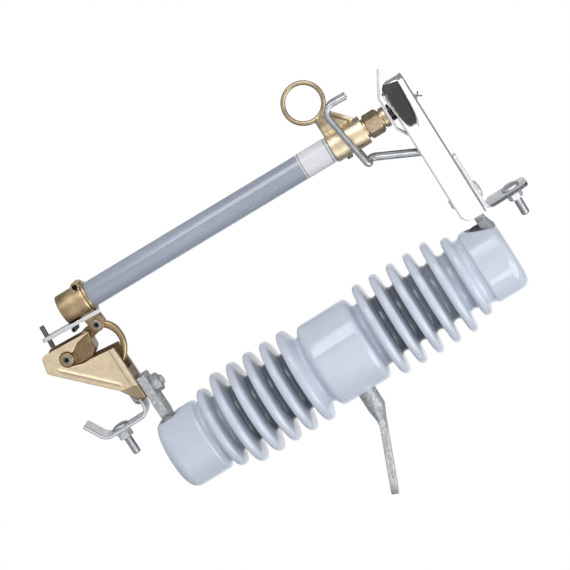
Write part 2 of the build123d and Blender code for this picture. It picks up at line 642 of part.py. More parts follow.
def make_hook_rod():
    """One rod bent into a narrow loop inside the hood and two hooks that stand beside the ferrule."""
    half = [
        (HOOK_TOP_U, HOOK_TOP_F, HOOK_INNER_Y), (HOOK_KNEE_U, HOOK_KNEE_F, HOOK_INNER_Y),
        (HOOK_KNEE_U - HOOK_ROD_D, HOOK_KNEE_F + HOOK_ROD_D, HOOK_SPREAD / 2),
        (HOOK_ARM_U, HOOK_ARM_F, HOOK_SPREAD / 2),
        (HOOK_ARM_U + HOOK_TIP_RISE, HOOK_ARM_F - HOOK_TIP_BACK, HOOK_SPREAD / 2),
    ]
    route = [(-f, -y, u) for u, f, y in reversed(half)] + [(-f, y, u) for u, f, y in half]
    radii = [HOOK_BEND_R, HOOK_ROD_D, HOOK_ROD_D, HOOK_ROD_D]
    path = FilletPolyline(*route, radius=radii + list(reversed(radii)))
    return sweep(Plane(origin=path @ 0, z_dir=path % 0) * Circle(HOOK_ROD_D / 2), path=path)


def make_trunnion():
    """Cross barrel, broad boss, arm to the toggle's eye and the arched horn."""
    pivot = (PIVOT_U, PIVOT_F)
    toggle = (TOGGLE_U, TOGGLE_F)
    middle = (TRUNNION_MID_U, TRUNNION_MID_F)
    elbow = (TRUNNION_ELBOW_U, TRUNNION_ELBOW_F)
    body = rod_y(TRUNNION_R, TRUNNION_LENGTH, *pivot)
    body += link_plate(pivot, TRUNNION_BOSS_R, middle, TRUNNION_MID_R, TRUNNION_BOSS_WIDTH)
    body += link_plate(middle, TRUNNION_MID_R, elbow, TRUNNION_ELBOW_R, TOGGLE_EYE_WIDTH)
    body += link_plate(elbow, TRUNNION_ELBOW_R, toggle, TOGGLE_EYE_R, TOGGLE_EYE_WIDTH)
    apex = (-HORN_APEX_F, 0, HORN_APEX_U)
    arch = ThreePointArc((-TOGGLE_F, 0, TOGGLE_U), apex, (-HORN_TIP_F, 0, HORN_TIP_U))
    start = Plane(origin=arch @ 0, x_dir=(0, 1, 0), z_dir=arch % 0)
    body += sweep(start * RectangleRounded(TOGGLE_EYE_WIDTH, HORN_WIDTH, HORN_EDGE_R), path=arch)
    return body - rod_y(TOGGLE_PIN_R + RUNNING_GAP, 2 * TOGGLE_EYE_WIDTH, *toggle)


def socket_screw_heads(half_width, u, f):
    """Two socket screw heads on the ends of a cross bar."""
    heads = []
    for side in (-1, 1):
        head = extrude(Circle(SCREW_HEAD_R), SCREW_HEAD_HEIGHT)
        socket = extrude(RegularPolygon(SCREW_SOCKET_FLATS / 2, 6, major_radius=False), SCREW_SOCKET_DEPTH)
        head -= Pos(0, 0, SCREW_HEAD_HEIGHT - SCREW_SOCKET_DEPTH) * socket
        heads.append(Pos(-f, side * half_width, u) * Rot(-90 * side, 0, 0) * head)
    return heads


def make_trunnion_screws():
    """The screw heads on both ends of the cross barrel."""
    return Compound(children=socket_screw_heads(TRUNNION_LENGTH / 2, PIVOT_U, PIVOT_F))


def make_toggle_pin():
    """The pivot between the trunnion and the lower ferrule, with a head at each end."""
    near, far = socket_screw_heads(LUG_OUTER, TOGGLE_U, TOGGLE_F)
    return rod_y(TOGGLE_PIN_R, 2 * LUG_OUTER, TOGGLE_U, TOGGLE_F) + near + far


def make_lower_ferrule():
    """A sleeve on the tube's lower end with two toggle lugs behind and a clamp boss in front."""
    barrel = collar(LOWER_FERRULE_D / 2, TUBE_D / 2, LOWER_FERRULE_LOW_W, LOWER_FERRULE_TOP_W)
    axis_f = tube_axis_f(LUG_ROOT_U)
    lug = side_plate([
        (LUG_ROOT_U - LUG_ROOT_LENGTH / 2, axis_f), (LUG_ROOT_U + LUG_ROOT_LENGTH / 2, axis_f),
        (TOGGLE_U + LUG_R, TOGGLE_F), (TOGGLE_U - LUG_R, TOGGLE_F),
    ], 2 * LUG_OUTER)
    lug += rod_y(LUG_R, 2 * LUG_OUTER, TOGGLE_U, TOGGLE_F)
    lug -= Pos(-TOGGLE_F, 0, TOGGLE_U) * Box(4 * LUG_R, 2 * LUG_INNER, 4 * LUG_R)
    boss_f = tube_axis_f(CLAMP_BOSS_W) + LOWER_FERRULE_D / 2 - CLAMP_BOSS_SINK
    boss = rod_y(CLAMP_BOSS_R, CLAMP_BOSS_WIDTH, CLAMP_BOSS_W, boss_f)
    body = barrel + lug + boss
    body -= tube_core(TUBE_D / 2, LOWER_FERRULE_LOW_W - CUT_OVERRUN, LOWER_FERRULE_TOP_W + CUT_OVERRUN)
    body -= rod_y(TOGGLE_PIN_R + RUNNING_GAP, 4 * LUG_OUTER, TOGGLE_U, TOGGLE_F)
    pin_f = EJECTOR_F + EJECTOR_THICKNESS / 2
    return body - rod_y(EJECTOR_PIN_R + RUNNING_GAP, 4 * LUG_OUTER, EJECTOR_PIN_U, pin_f)


def make_lower_ferrule_screw():
    """The clamp boss's screw heads."""
    boss_f = tube_axis_f(CLAMP_BOSS_W) + LOWER_FERRULE_D / 2 - CLAMP_BOSS_SINK
    heads = []
    for side in (-1, 1):
        head = extrude(Circle(CLAMP_SCREW_R), SCREW_HEAD_HEIGHT)
        heads.append(Pos(-boss_f, side * CLAMP_BOSS_WIDTH / 2, CLAMP_BOSS_W) * Rot(-90 * side, 0, 0) * head)
    return Compound(children=heads)


def on_ejector(shape):
    """Tilt a piece of the ejector about its pin."""
    pin = Pos(-(EJECTOR_F + EJECTOR_THICKNESS / 2), 0, EJECTOR_PIN_U)
    return pin * Rot(0, EJECTOR_TILT_DEG, 0) * pin.inverse() * shape


def make_link_ejector():
    """A forked flat that straddles the ferrule's lugs and carries the finger at its free end."""
    length = EJECTOR_TOP_U - EJECTOR_LOW_U
    mid_f = EJECTOR_F + EJECTOR_THICKNESS / 2
    plate = Pos(-mid_f, 0, (EJECTOR_TOP_U + EJECTOR_LOW_U) / 2)
    plate = plate * Box(EJECTOR_THICKNESS, EJECTOR_WIDTH, length)
    fork_length = EJECTOR_TOP_U - EJECTOR_FORK_U + CUT_OVERRUN
    fork = Pos(-mid_f, 0, EJECTOR_FORK_U + fork_length / 2)
    plate -= fork * Box(2 * EJECTOR_THICKNESS, 2 * (LUG_OUTER + SEAT_GAP), fork_length)
    plate -= rod_y(EJECTOR_PIN_R + RUNNING_GAP, 2 * EJECTOR_WIDTH, EJECTOR_PIN_U, mid_f)
    return on_ejector(plate - rod_f(FINGER_R + RUNNING_GAP, FINGER_BACK_F, FINGER_FRONT_F, FINGER_U))


def make_ejector_finger():
    """The round finger through the ejector's free end."""
    return on_ejector(rod_f(FINGER_R, FINGER_BACK_F, FINGER_FRONT_F, FINGER_U))


def make_ejector_pin():
    """The small pin on which the ejector turns."""
    return rod_y(EJECTOR_PIN_R, EJECTOR_WIDTH, EJECTOR_PIN_U, EJECTOR_F + EJECTOR_THICKNESS / 2)


def make_ejector_spring():
    """The torsion coil under the ejector."""
    spring_f = EJECTOR_F - EJECTOR_SPRING_R - SEAT_GAP
    return on_ejector(rod_y(EJECTOR_SPRING_R, EJECTOR_SPRING_WIDTH, EJECTOR_SPRING_U, spring_f))


def make_fuse_tube():
    """The plain tube that holds the fuse link."""
    return collar(TUBE_D / 2, TUBE_BORE_D / 2, TUBE_LOW_W, TUBE_TOP_W)


def make_upper_ferrule():
    """A sleeve on the tube's upper end with a stem, a ribbed web and the pull ring."""
    top_wall_w = UPPER_FERRULE_TOP_W - CAP_SPIGOT_LENGTH
    barrel = collar(UPPER_FERRULE_D / 2, TUBE_D / 2, UPPER_FERRULE_LOW_W, top_wall_w)
    barrel += collar(UPPER_FERRULE_D / 2, CAP_SPIGOT_D / 2, top_wall_w, UPPER_FERRULE_TOP_W)
    axis_f = tube_axis_f(RING_STEM_U)
    stem = rod_f(RING_STEM_D / 2, axis_f, RING_F - RING_D / 2, RING_STEM_U)
    web = side_plate([
        (RING_STEM_U, axis_f), (RIB_TOP_U, axis_f), (RIB_TOP_U, axis_f + UPPER_FERRULE_D / 2),
        (RIB_FRONT_U, RIB_FRONT_F), (RING_STEM_U, RIB_FRONT_F),
    ], RIB_WEB_THICKNESS)
    shoulder = (RIB_TOP_U, axis_f + UPPER_FERRULE_D / 2)
    rib = bent_rib((RIB_TOP_U, axis_f), shoulder, (RIB_FRONT_U, RIB_FRONT_F))
    ring = Pos(-RING_F, 0, RING_U) * Rot(90, 0, 0) * Torus(RING_D / 2, RING_ROD_D / 2)
    body = barrel + stem + web + rib + ring
    body -= tube_core(TUBE_D / 2, UPPER_FERRULE_LOW_W - CUT_OVERRUN, top_wall_w)
    body -= tube_core(CAP_SPIGOT_D / 2, top_wall_w, UPPER_FERRULE_TOP_W + CUT_OVERRUN)
    return body - upper_screw_bar(UPPER_SCREW_R + RUNNING_GAP)


def bent_rib(root, shoulder, end):
    """A raised edge from the barrel's side up to the ring's stem."""
    path = Polyline(*[(-f, 0, u) for u, f in (shoulder, end)])
    start = Plane(origin=path @ 0, x_dir=(0, 1, 0), z_dir=path % 0)
    edge = sweep(start * Rectangle(RIB_EDGE_WIDTH, RIB_EDGE_THICKNESS), path=path)
    foot = Polyline(*[(-f, 0, u) for u, f in (root, shoulder)])
    base = Plane(origin=foot @ 0, x_dir=(0, 1, 0), z_dir=foot % 0)
    return edge + sweep(base * Rectangle(RIB_EDGE_WIDTH, RIB_EDGE_THICKNESS), path=foot)


def upper_screw_bar(radius):
    """The grub screw's place, from its seat in the barrel's wall to its outer end."""
    back_f = tube_axis_f(UPPER_SCREW_W) - UPPER_FERRULE_D / 2
    return rod_f(radius, back_f - UPPER_SCREW_REACH, back_f + UPPER_SCREW_SEAT, UPPER_SCREW_W)


def make_upper_ferrule_screw():
    """The grub screw behind the upper ferrule."""
    return upper_screw_bar(UPPER_SCREW_R)


def make_ferrule_cap():
    """The hexagonal contact cap with its round nose collar and a spigot in the ferrule."""
    prism = extrude(RegularPolygon(CAP_FLATS / 2, 6, major_radius=False), CAP_HEX_LENGTH)
    cap = Pos(0, 0, UPPER_FERRULE_TOP_W) * prism
    collar_low = UPPER_FERRULE_TOP_W + CAP_HEX_LENGTH
    cap += Pos(0, 0, collar_low) * extrude(Circle(CAP_COLLAR_D / 2), CAP_COLLAR_LENGTH)
    spigot = extrude(Circle(CAP_SPIGOT_D / 2 - RUNNING_GAP), CAP_SPIGOT_LENGTH)
    return on_tube_axis(cap + Pos(0, 0, UPPER_FERRULE_TOP_W - CAP_SPIGOT_LENGTH) * spigot)


def make_pieces():
    """Every piece by its node's name, still in the insulator's own directions."""
    hinge_bolt_head_u = HINGE_FOOT_BOTTOM_U - TERMINAL_THICKNESS
    hinge_bolt_tail_u = LOWER_BAR_TOP_U + NUT_HEIGHT + BOLT_TAIL
    hood_bolt_head_u = HOOD_TOP_U + TERMINAL_THICKNESS
    hood_nut_u = UPPER_BAR_TOP_U - BAR_THICKNESS - NUT_HEIGHT
    return {
        "insulator_body": make_insulator_body(),
        "lower_socket_cement": make_lower_socket_cement(),
        "upper_socket_cement": make_upper_socket_cement(),
        "strap_socket_cement": make_strap_socket_cement(),
        "mounting_strap": make_mounting_strap(),
        "lower_support_bar": make_lower_bar(),
        "upper_support_bar": make_upper_bar(),
        "hinge_casting": make_hinge_casting(),
        "hinge_bolt": make_hinge_bolt(hinge_bolt_head_u, hinge_bolt_tail_u),
        "hinge_nut": nut_u(LOWER_BAR_TOP_U, HINGE_BOLT_F),
        "lower_terminal": make_lower_terminal(),
        "lower_terminal_bolt": make_terminal_bolt(LOWER_CLAMP_U, LOWER_PAD_F),
        "lower_terminal_washer": make_terminal_washer(LOWER_CLAMP_U, LOWER_PAD_F),
        "lower_terminal_nut": make_terminal_nut(LOWER_CLAMP_U, LOWER_PAD_F),
        "contact_hood": make_contact_hood(),
        "contact_leaf": make_contact_leaf(),
        "contact_spring": make_contact_spring(),
        "spring_guide_pin": make_spring_guide_pin(),
        "hood_bolt": make_hood_bolt(hood_bolt_head_u, hood_nut_u - BOLT_TAIL),
        "hood_nut": nut_u(hood_nut_u, HOOD_BOLT_F),
        "hook_rod": make_hook_rod(),
        "upper_terminal": make_upper_terminal(),
        "upper_terminal_bolt": make_terminal_bolt(UPPER_CLAMP_U, UPPER_PAD_F),
        "upper_terminal_washer": make_terminal_washer(UPPER_CLAMP_U, UPPER_PAD_F),
        "upper_terminal_nut": make_terminal_nut(UPPER_CLAMP_U, UPPER_PAD_F),
        "trunnion": make_trunnion(),
        "trunnion_screws": make_trunnion_screws(),
        "toggle_pin": make_toggle_pin(),
        "lower_ferrule": make_lower_ferrule(),
        "lower_ferrule_screw": make_lower_ferrule_screw(),
        "link_ejector": make_link_ejector(),
        "ejector_finger": make_ejector_finger(),
        "ejector_pin": make_ejector_pin(),
        "ejector_spring": make_ejector_spring(),
        "fuse_tube": make_fuse_tube(),
        "upper_ferrule": make_upper_ferrule(),
        "upper_ferrule_screw": make_upper_ferrule_screw(),
        "ferrule_cap": make_ferrule_cap(),
    }


def in_service():
    """The turn and shift that lay the strap level with its bolt hole at the origin."""
    turn = Rot(0, -LEAN_DEG, 0)
    hole = (turn * Pos(*strap_hole())).position
    return Pos(-hole.X, -hole.Y, -hole.Z) * turn


def main():
    os.makedirs("parts", exist_ok=True)
    place = in_service()
    for name, piece in make_pieces().items():
        export_step(place * piece, os.path.join("parts", name + ".step"))


if __name__ == "__main__":
    main()
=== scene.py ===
"""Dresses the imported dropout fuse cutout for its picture: glazed porcelain, castings, bright sheet metal,
threaded fasteners, coil springs, a painted tube and a studio round it."""
import json

import bmesh
import bpy
import numpy as np
from bpy.props import FloatProperty, FloatVectorProperty, PointerProperty
from mathutils import Matrix, Vector


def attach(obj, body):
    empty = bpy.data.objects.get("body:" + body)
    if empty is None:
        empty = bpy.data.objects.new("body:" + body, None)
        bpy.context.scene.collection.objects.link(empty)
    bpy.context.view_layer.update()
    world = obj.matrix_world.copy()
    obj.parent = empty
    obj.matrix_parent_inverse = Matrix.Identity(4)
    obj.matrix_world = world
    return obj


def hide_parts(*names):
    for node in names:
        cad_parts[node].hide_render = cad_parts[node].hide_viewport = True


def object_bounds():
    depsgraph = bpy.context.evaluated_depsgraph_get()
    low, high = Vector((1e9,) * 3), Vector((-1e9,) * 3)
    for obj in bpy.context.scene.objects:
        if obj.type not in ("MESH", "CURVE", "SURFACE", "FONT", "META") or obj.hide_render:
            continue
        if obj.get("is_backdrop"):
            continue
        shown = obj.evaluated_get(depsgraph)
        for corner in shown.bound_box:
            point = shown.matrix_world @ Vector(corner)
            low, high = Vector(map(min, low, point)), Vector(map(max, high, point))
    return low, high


bl_info = {
    "name": "Fuse Cutout Dressing",
    "version": (1, 0, 0),
    "blender": (4, 5, 0),
    "location": "View3D > Sidebar > Cutout",
    "description": "Builds the finished surfaces and the studio of a dropout fuse cutout",
    "category": "Object",
}

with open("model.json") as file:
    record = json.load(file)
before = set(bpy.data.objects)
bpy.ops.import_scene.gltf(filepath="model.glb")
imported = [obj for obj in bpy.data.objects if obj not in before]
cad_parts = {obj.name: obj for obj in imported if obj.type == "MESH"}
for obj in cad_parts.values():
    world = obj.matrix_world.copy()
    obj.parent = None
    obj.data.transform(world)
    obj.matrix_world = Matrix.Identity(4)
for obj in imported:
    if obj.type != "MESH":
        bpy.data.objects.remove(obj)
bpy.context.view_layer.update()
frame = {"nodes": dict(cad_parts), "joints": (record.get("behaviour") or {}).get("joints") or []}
NODES = frame["nodes"]
BASE, HOLDER = "base", "fuse_holder"

# Every piece is drawn in millimetres in the insulator's own directions, x back, y across and z up its axis,
# and then leaned and moved so that the fuse holder's pivot lies on the frame's joint.
LEAN = np.radians(22.5)
PIVOT_U, PIVOT_F = -219.3, 135.2
TURN = np.array([
    [np.cos(LEAN), 0.0, -np.sin(LEAN)],
    [0.0, 1.0, 0.0],
    [np.sin(LEAN), 0.0, np.cos(LEAN)],
])
MM = 0.001
JOINT_PLACE = np.array(frame["joints"][0]["pos_m"])
ORIGIN = JOINT_PLACE - TURN @ np.array([-PIVOT_F, 0.0, PIVOT_U]) * MM

UP = np.array([0.0, 0.0, 1.0])
ACROSS = np.array([0.0, 1.0, 0.0])
BACK = np.array([1.0, 0.0, 0.0])
TUBE_LEAN = np.radians(1.28)
TUBE_F = 170.6
TUBE_UP = np.array([np.sin(TUBE_LEAN), 0.0, np.cos(TUBE_LEAN)])
TUBE_SIDE = np.array([np.cos(TUBE_LEAN), 0.0, -np.sin(TUBE_LEAN)])

# Places and sizes in millimetres: u is the height along the insulator, f the reach forward of its axis, and w the
# height along the fuse tube.
BODY_END_U, END_DRUM_R, CENTRE_DRUM_R = 187.5, 37.5, 43.5
LOW_SHEDS_U, HIGH_SHEDS_U, SHED_PITCH, SHEDS_PER_END = -133.4, 44.9, 18.7, 6
SOCKET_U, STRAP_U, SOCKET_R, SOCKET_EDGE = 172.5, 1.7, 13.2, 1.6
HOOD_TOP_U, HOOD_INNER_TOP_U = 187.1, 184.6
BAR_TOP_U = -167.0
HOOD_BOLT_F, HINGE_BOLT_F = 65.0, 70.0
LEAF_CONTACT_U, SPRING_F = 156.5, 168.0
FERRULE_TOP_W, LABEL_TOP_W = 132.0, 94.6
STRIP_WIDTH, STRIP_THICKNESS, WASHER_THICKNESS = 25.0, 3.5, 1.6
PIVOT_SEAT_R = 7.0

# The point that the camera looks at, in metres in the shared frame.
AIM = Vector((-0.20237, 0.0, -0.06661))

# Each metal: its colour, its roughness, the scale and depth of its grain, the depth and scale of its clouds, the
# colour of the places marked as skin, and how metallic it is. On the hinge, the lower ferrule, the strips' edges
# and the screws' heads, the places marked as skin are painted shade.
METALS = {
    "zinc_plated_steel": ("zinc", 0.36, 500.0, 0.01, 0.08, 70.0, "sheared_edge", 0.4),
    "dull_steel": ("dull_steel", 0.42, 900.0, 0.03, 0.18, 150.0, "zinc", 1.0),
    "spring_steel": ("spring_steel", 0.38, 900.0, 0.15, 0.3, 200.0, None, 1.0),
    "screw_steel": ("screw_steel", 0.28, 900.0, 0.05, 0.3, 220.0, "pocket", 1.0),
    "pale_cast_brass": ("cast_brass", 0.5, 1500.0, 0.5, 0.12, 130.0, "casting_skin", 1.0),
    "brown_brass": ("brown_brass", 0.36, 1100.0, 0.4, 0.3, 110.0, "casting_skin", 1.0),
    "golden_brass": ("golden_brass", 0.36, 1200.0, 0.3, 0.26, 130.0, "casting_skin", 1.0),
}


def in_frame(points):
    """Local millimetres to the shared frame in metres: the lean's turn, then the shift to the joint."""
    return points @ TURN.T * MM + ORIGIN


def in_local(points):
    """The way back: metres in the shared frame to local millimetres."""
    return (points - ORIGIN) / MM @ TURN


def spot(u, f, y=0.0):
    """A local point from its height u, its reach forward f and its place across."""
    return np.array([-f, y, u])


def round_corners(points, radii, closed=False, steps=6):
    """A broken line with its corners turned into arcs: each arc's centre lies on the corner's bisector, and
    its points run between the two ends by the spherical mean of the end radii."""
    points = np.asarray(points, float)
    count = len(points)
    radii = np.broadcast_to(np.asarray(radii, float), (count,))
    share = np.linspace(0, 1, steps + 1)[:, None]
    runs = []
    for k, corner in enumerate(points):
        before = points[k - 1] - corner
        after = points[(k + 1) % count] - corner
        lengths = np.linalg.norm(before), np.linalg.norm(after)
        end = not closed and k in (0, count - 1)
        if end or radii[k] <= 0 or min(lengths) == 0:
            runs.append(corner[None])
            continue
        before, after = before / lengths[0], after / lengths[1]
        half = np.arccos(np.clip(before @ after, -1, 1)) / 2
        if half > np.radians(89):
            runs.append(corner[None])
            continue
        reach = min(radii[k] / np.tan(half), 0.49 * lengths[0], 0.49 * lengths[1])
        middle = before + after
        centre = corner + middle / np.linalg.norm(middle) * reach / np.cos(half)
        first, last = corner + before * reach - centre, corner + after * reach - centre
        turn = np.pi - 2 * half
        arc = (np.sin((1 - share) * turn) * first + np.sin(share * turn) * last) / np.sin(turn)
        runs.append(centre + arc)
    return np.concatenate(runs)


def fill_runs(points, step):
    """The same line with points added along its long runs, evenly by length, no further apart than step."""
    gaps = np.linalg.norm(np.diff(points, axis=0), axis=1)
    place = np.concatenate([[0], np.cumsum(gaps)])
    counts = np.maximum(np.ceil(gaps / step), 1).astype(int)
    stops = [np.linspace(place[k], place[k + 1], n, endpoint=False) for k, n in enumerate(counts)]
    along = np.concatenate(stops + [place[-1:]])
    return np.stack([np.interp(along, place, points[:, k]) for k in range(points.shape[1])], -1)


def outward(vertices, quads, caps):
    """A closed shell with its faces turned outwards: they are reversed if the sum of the tetrahedra from the
    shell's middle to the faces is negative."""
    inner = vertices - vertices.mean(axis=0)
    a, b, c, d = (inner[quads[:, k]] for k in range(4))
    volume = np.sum(a * np.cross(b, c)) + np.sum(a * np.cross(c, d))
    for cap in caps:
        rim = inner[cap]
        volume += np.sum(rim[0] * np.cross(rim[1:-1], rim[2:]))
    if volume < 0:
        quads, caps = quads[:, ::-1], [cap[::-1] for cap in caps]
    return vertices, quads, caps


def grid_shell(points, wrap_rows=False, wrap_columns=True, capped=True):
    """A shell over a grid of points: each quad joins a point to the next row and the next column, and flat
    caps close the first and last rows."""
    rows, columns = points.shape[:2]
    i = np.arange(rows if wrap_rows else rows - 1)[:, None]
    j = np.arange(columns if wrap_columns else columns - 1)[None, :]
    i2, j2 = (i + 1) % rows, (j + 1) % columns
    corners = (i * columns + j, i2 * columns + j, i2 * columns + j2, i * columns + j2)
    quads = np.stack(np.broadcast_arrays(*corners), -1).reshape(-1, 4)
    ring = np.arange(columns)
    caps = [ring, ring[::-1] + (rows - 1) * columns] if capped and not wrap_rows else []
    return outward(points.reshape(-1, 3), quads, caps)


def turned(profile, origin, axis, side, segments=48, flats=0.0, wrap=False, thread=0.0, pitch=1.0):
    """A shape turned about an axis: the point at height h and angle a lies r out from the axis, where r is the
    profile's radius, held inside a hexagon of the given width over flats, less a thread's sawtooth of height
    and angle on the rows whose third number is 1. A third number of 2 makes the row itself a hexagon."""
    profile = np.asarray([tuple(row) + (0,) * (3 - len(row)) for row in profile], float)
    angle = np.linspace(0, 2 * np.pi, segments, endpoint=False)[None, :]
    height, radius, kind = (profile[:, k][:, None] for k in range(3))
    to_flat = np.cos(np.mod(angle, np.pi / 3) - np.pi / 6)
    radius = np.where(kind == 2, radius / to_flat, radius + 0 * angle)
    if flats:
        radius = np.minimum(radius, flats / 2 / to_flat)
    if thread:
        phase = np.mod(height / pitch - angle / (2 * np.pi), 1.0)
        radius = radius - np.where(kind == 1, thread * np.abs(2 * phase - 1), 0)
    other = np.cross(axis, side)
    ring = np.cos(angle)[..., None] * side + np.sin(angle)[..., None] * other
    points = origin + height[..., None] * axis + radius[..., None] * ring
    return grid_shell(points, wrap_rows=wrap)


def carried(section, path, across=ACROSS, widths=1.0):
    """A section carried along a path: its first number runs across, its second along the cross product of the
    path's direction and that, and widths scale the first number along the way."""
    heading = np.gradient(path, axis=0)
    heading /= np.linalg.norm(heading, axis=1, keepdims=True)
    across = np.broadcast_to(across, path.shape)
    across = across - np.sum(across * heading, axis=1, keepdims=True) * heading
    across = across / np.linalg.norm(across, axis=1, keepdims=True)
    normal = np.cross(heading, across)
    widths = np.broadcast_to(widths, (len(path),))[:, None, None]
    sideways = section[None, :, :1] * widths * across[:, None]
    return grid_shell(path[:, None] + sideways + section[None, :, 1:] * normal[:, None])


def circle(radius, segments=24):
    """A round section."""
    angle = np.linspace(0, 2 * np.pi, segments, endpoint=False)
    return radius * np.stack([np.cos(angle), np.sin(angle)], -1)


def flat_section(width, thickness, edge):
    """A rectangular section with rounded edges."""
    x, y = width / 2, thickness / 2
    return round_corners([(-x, -y), (x, -y), (x, y), (-x, y)], edge, closed=True, steps=4)


def plate(outline, low, high, edge, origin, first, second, steps=4):
    """A plate with rounded edges: its outline lies in two directions and is carried through the thickness,
    drawn in along its own normals by a quarter circle at both faces."""
    ahead, behind = np.roll(outline, -1, axis=0), np.roll(outline, 1, axis=0)
    heading = ahead - behind
    heading /= np.linalg.norm(heading, axis=1, keepdims=True)
    area = np.sum(outline[:, 0] * ahead[:, 1] - ahead[:, 0] * outline[:, 1])
    inward = np.stack([-heading[:, 1], heading[:, 0]], -1) * np.sign(area)
    angle = np.linspace(0, np.pi / 2, steps + 1)
    draw = edge * (1 - np.sin(angle))
    height = edge * (1 - np.cos(angle))
    draw = np.concatenate([draw, draw[::-1]])
    height = np.concatenate([low + height, high - height[::-1]])
    flat = outline[None] + draw[:, None, None] * inward[None]
    axis = np.cross(first, second)
    points = origin + flat[..., :1] * first + flat[..., 1:] * second + height[:, None, None] * axis
    return grid_shell(points)


def coil(origin, axis, side, radius, wire, low, high, turns, closed_share=0.12, segments=14):
    """A spring: a round wire carried along a helix whose rise is slow in its end turns and even between."""
    share = np.linspace(0, 1, int(turns * 40) + 1)
    ease = np.clip(share / closed_share, 0, 1) * closed_share / 3
    ease = ease + np.clip((share - closed_share) / (1 - 2 * closed_share), 0, 1) * (1 - 2 * closed_share / 3)
    ease = ease + np.clip((share - 1 + closed_share) / closed_share, 0, 1) * closed_share / 3
    angle = share * turns * 2 * np.pi
    other = np.cross(axis, side)
    ring = np.cos(angle)[:, None] * side + np.sin(angle)[:, None] * other
    path = origin + radius * ring + (low + wire + ease * (high - low - 2 * wire))[:, None] * axis
    return carried(circle(wire, segments), path, across=axis)


def piece(name, shells, body, slot, nodes=(), sharp=35.0):
    """One finished object from its shells, riding its body and standing for its CAD nodes."""
    starts = np.cumsum([0] + [len(shell[0]) for shell in shells])
    faces = []
    for start, (_, quads, caps) in zip(starts, shells):
        faces += (quads + start).tolist() + [(cap + start).tolist() for cap in caps]
    mesh = bpy.data.meshes.new(name)
    mesh.from_pydata(in_frame(np.concatenate([shell[0] for shell in shells])), [], faces)
    return dressed(name, mesh, body, slot, nodes, sharp)


def dressed(name, mesh, body, slot, nodes, sharp):
    """Shades a mesh smooth up to its sharp edges, gives it its finish and ties it to the frame."""
    mesh.shade_smooth()
    mesh.set_sharp_from_angle(angle=np.radians(sharp))
    made = bpy.data.objects.new(name, mesh)
    bpy.context.scene.collection.objects.link(made)
    mesh.materials.append(finish_of(slot))
    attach(made, body)
    if nodes:
        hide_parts(*nodes)
    return made


def merge_points(mesh, face_out=False):
    """Joins the points of a mesh that lie on one another, and turns its faces outwards where asked."""
    shape = bmesh.new()
    shape.from_mesh(mesh)
    bmesh.ops.remove_doubles(shape, verts=shape.verts, dist=1e-6)
    if face_out:
        bmesh.ops.recalc_face_normals(shape, faces=shape.faces)
    shape.to_mesh(mesh)
    shape.free()


def softened(name, node, body, slot, voxel, passes, relief=None, skin=None):
    """A casting or forging with soft edges: the node's solid, merged and measured again on an even grid of
    voxels, whose points then move towards the mean of their neighbours, and then by the casting's relief. The
    darker places are marked: casting skin on some pieces, and painted shade on others."""
    mesh = NODES[node].data.copy()
    merge_points(mesh)
    blank = bpy.data.objects.new(name + "_blank", mesh)
    bpy.context.scene.collection.objects.link(blank)
    remesh = blank.modifiers.new("even_grid", "REMESH")
    remesh.mode, remesh.voxel_size = "VOXEL", voxel * MM
    smooth = blank.modifiers.new("soft_edges", "SMOOTH")
    smooth.factor, smooth.iterations = 0.5, passes
    graph = bpy.context.evaluated_depsgraph_get()
    result = bpy.data.meshes.new_from_object(blank.evaluated_get(graph))
    result.name = name
    result.materials.clear()
    bpy.data.objects.remove(blank)
    places = np.empty(len(result.vertices) * 3, dtype=np.float32)
    result.vertices.foreach_get("co", places)
    points = in_local(places.reshape(-1, 3).astype(float))
    if relief:
        moved = in_frame(relief(points))
        result.vertices.foreach_set("co", moved.astype(np.float32).ravel())
        result.update()
    made = dressed(name, result, body, slot, (node,), 180.0)
    if skin:
        mark(made, "skin", skin(points))
    return made


# Finishes


def smooth_step(value, low, high):
    """A share that eases from 0 at low to 1 at high: three squares less two cubes."""
    share = np.clip((value - low) / (high - low), 0, 1)
    return share * share * (3 - 2 * share)


def mark(made, name, values):
    """A number on every point of a piece, which its finish reads."""
    numbers = made.data.attributes.new(name, "FLOAT", "POINT")
    numbers.data.foreach_set("value", np.asarray(values, np.float32).ravel())


def feed(tree, socket, value):
    """Sets a socket to a value, or ties it to another node's socket."""
    if isinstance(value, bpy.types.NodeSocket):
        tree.links.new(value, socket)
    else:
        socket.default_value = value


def add(tree, kind, **sockets):
    """A shader node with its sockets set to values or tied to other nodes' sockets."""
    node = tree.nodes.new(kind)
    for key, value in sockets.items():
        feed(tree, node.inputs[key.replace("_", " ")], value)
    return node


def blend(tree, share, first, second, kind="MIX"):
    """A colour between two, by a share."""
    node = tree.nodes.new("ShaderNodeMix")
    node.data_type, node.blend_type = "RGBA", kind
    for socket, value in ((node.inputs[0], share), (node.inputs[6], first), (node.inputs[7], second)):
        feed(tree, socket, value)
    return node.outputs[2]


def calc(tree, operation, *values):
    """The result of one sum on values or sockets."""
    node = tree.nodes.new("ShaderNodeMath")
    node.operation = operation
    for socket, value in zip(node.inputs, values):
        feed(tree, socket, value)
    return node.outputs[0]


def mix_shaders(tree, share, first, second):
    """A shader between two, by a share."""
    node = tree.nodes.new("ShaderNodeMixShader")
    for socket, value in zip(node.inputs, (share, first.outputs[0], second.outputs[0])):
        tree.links.new(value, socket)
    return node


def empty_tree(owner):
    """The node tree of a material or a world, with nothing in it."""
    owner.use_nodes = True
    owner.node_tree.nodes.clear()
    return owner.node_tree


def spread(tree, value, low, high, to_low, to_high):
    """A value carried from one range to another, and held inside it."""
    return add(
        tree, "ShaderNodeMapRange", Value=value, From_Min=low, From_Max=high, To_Min=to_low, To_Max=to_high,
    ).outputs["Result"]


def shade(colour, factor):
    """A colour made lighter or darker, with full alpha."""
    return tuple(min(max(c * factor, 0.0), 1.0) for c in colour[:3]) + (1.0,)


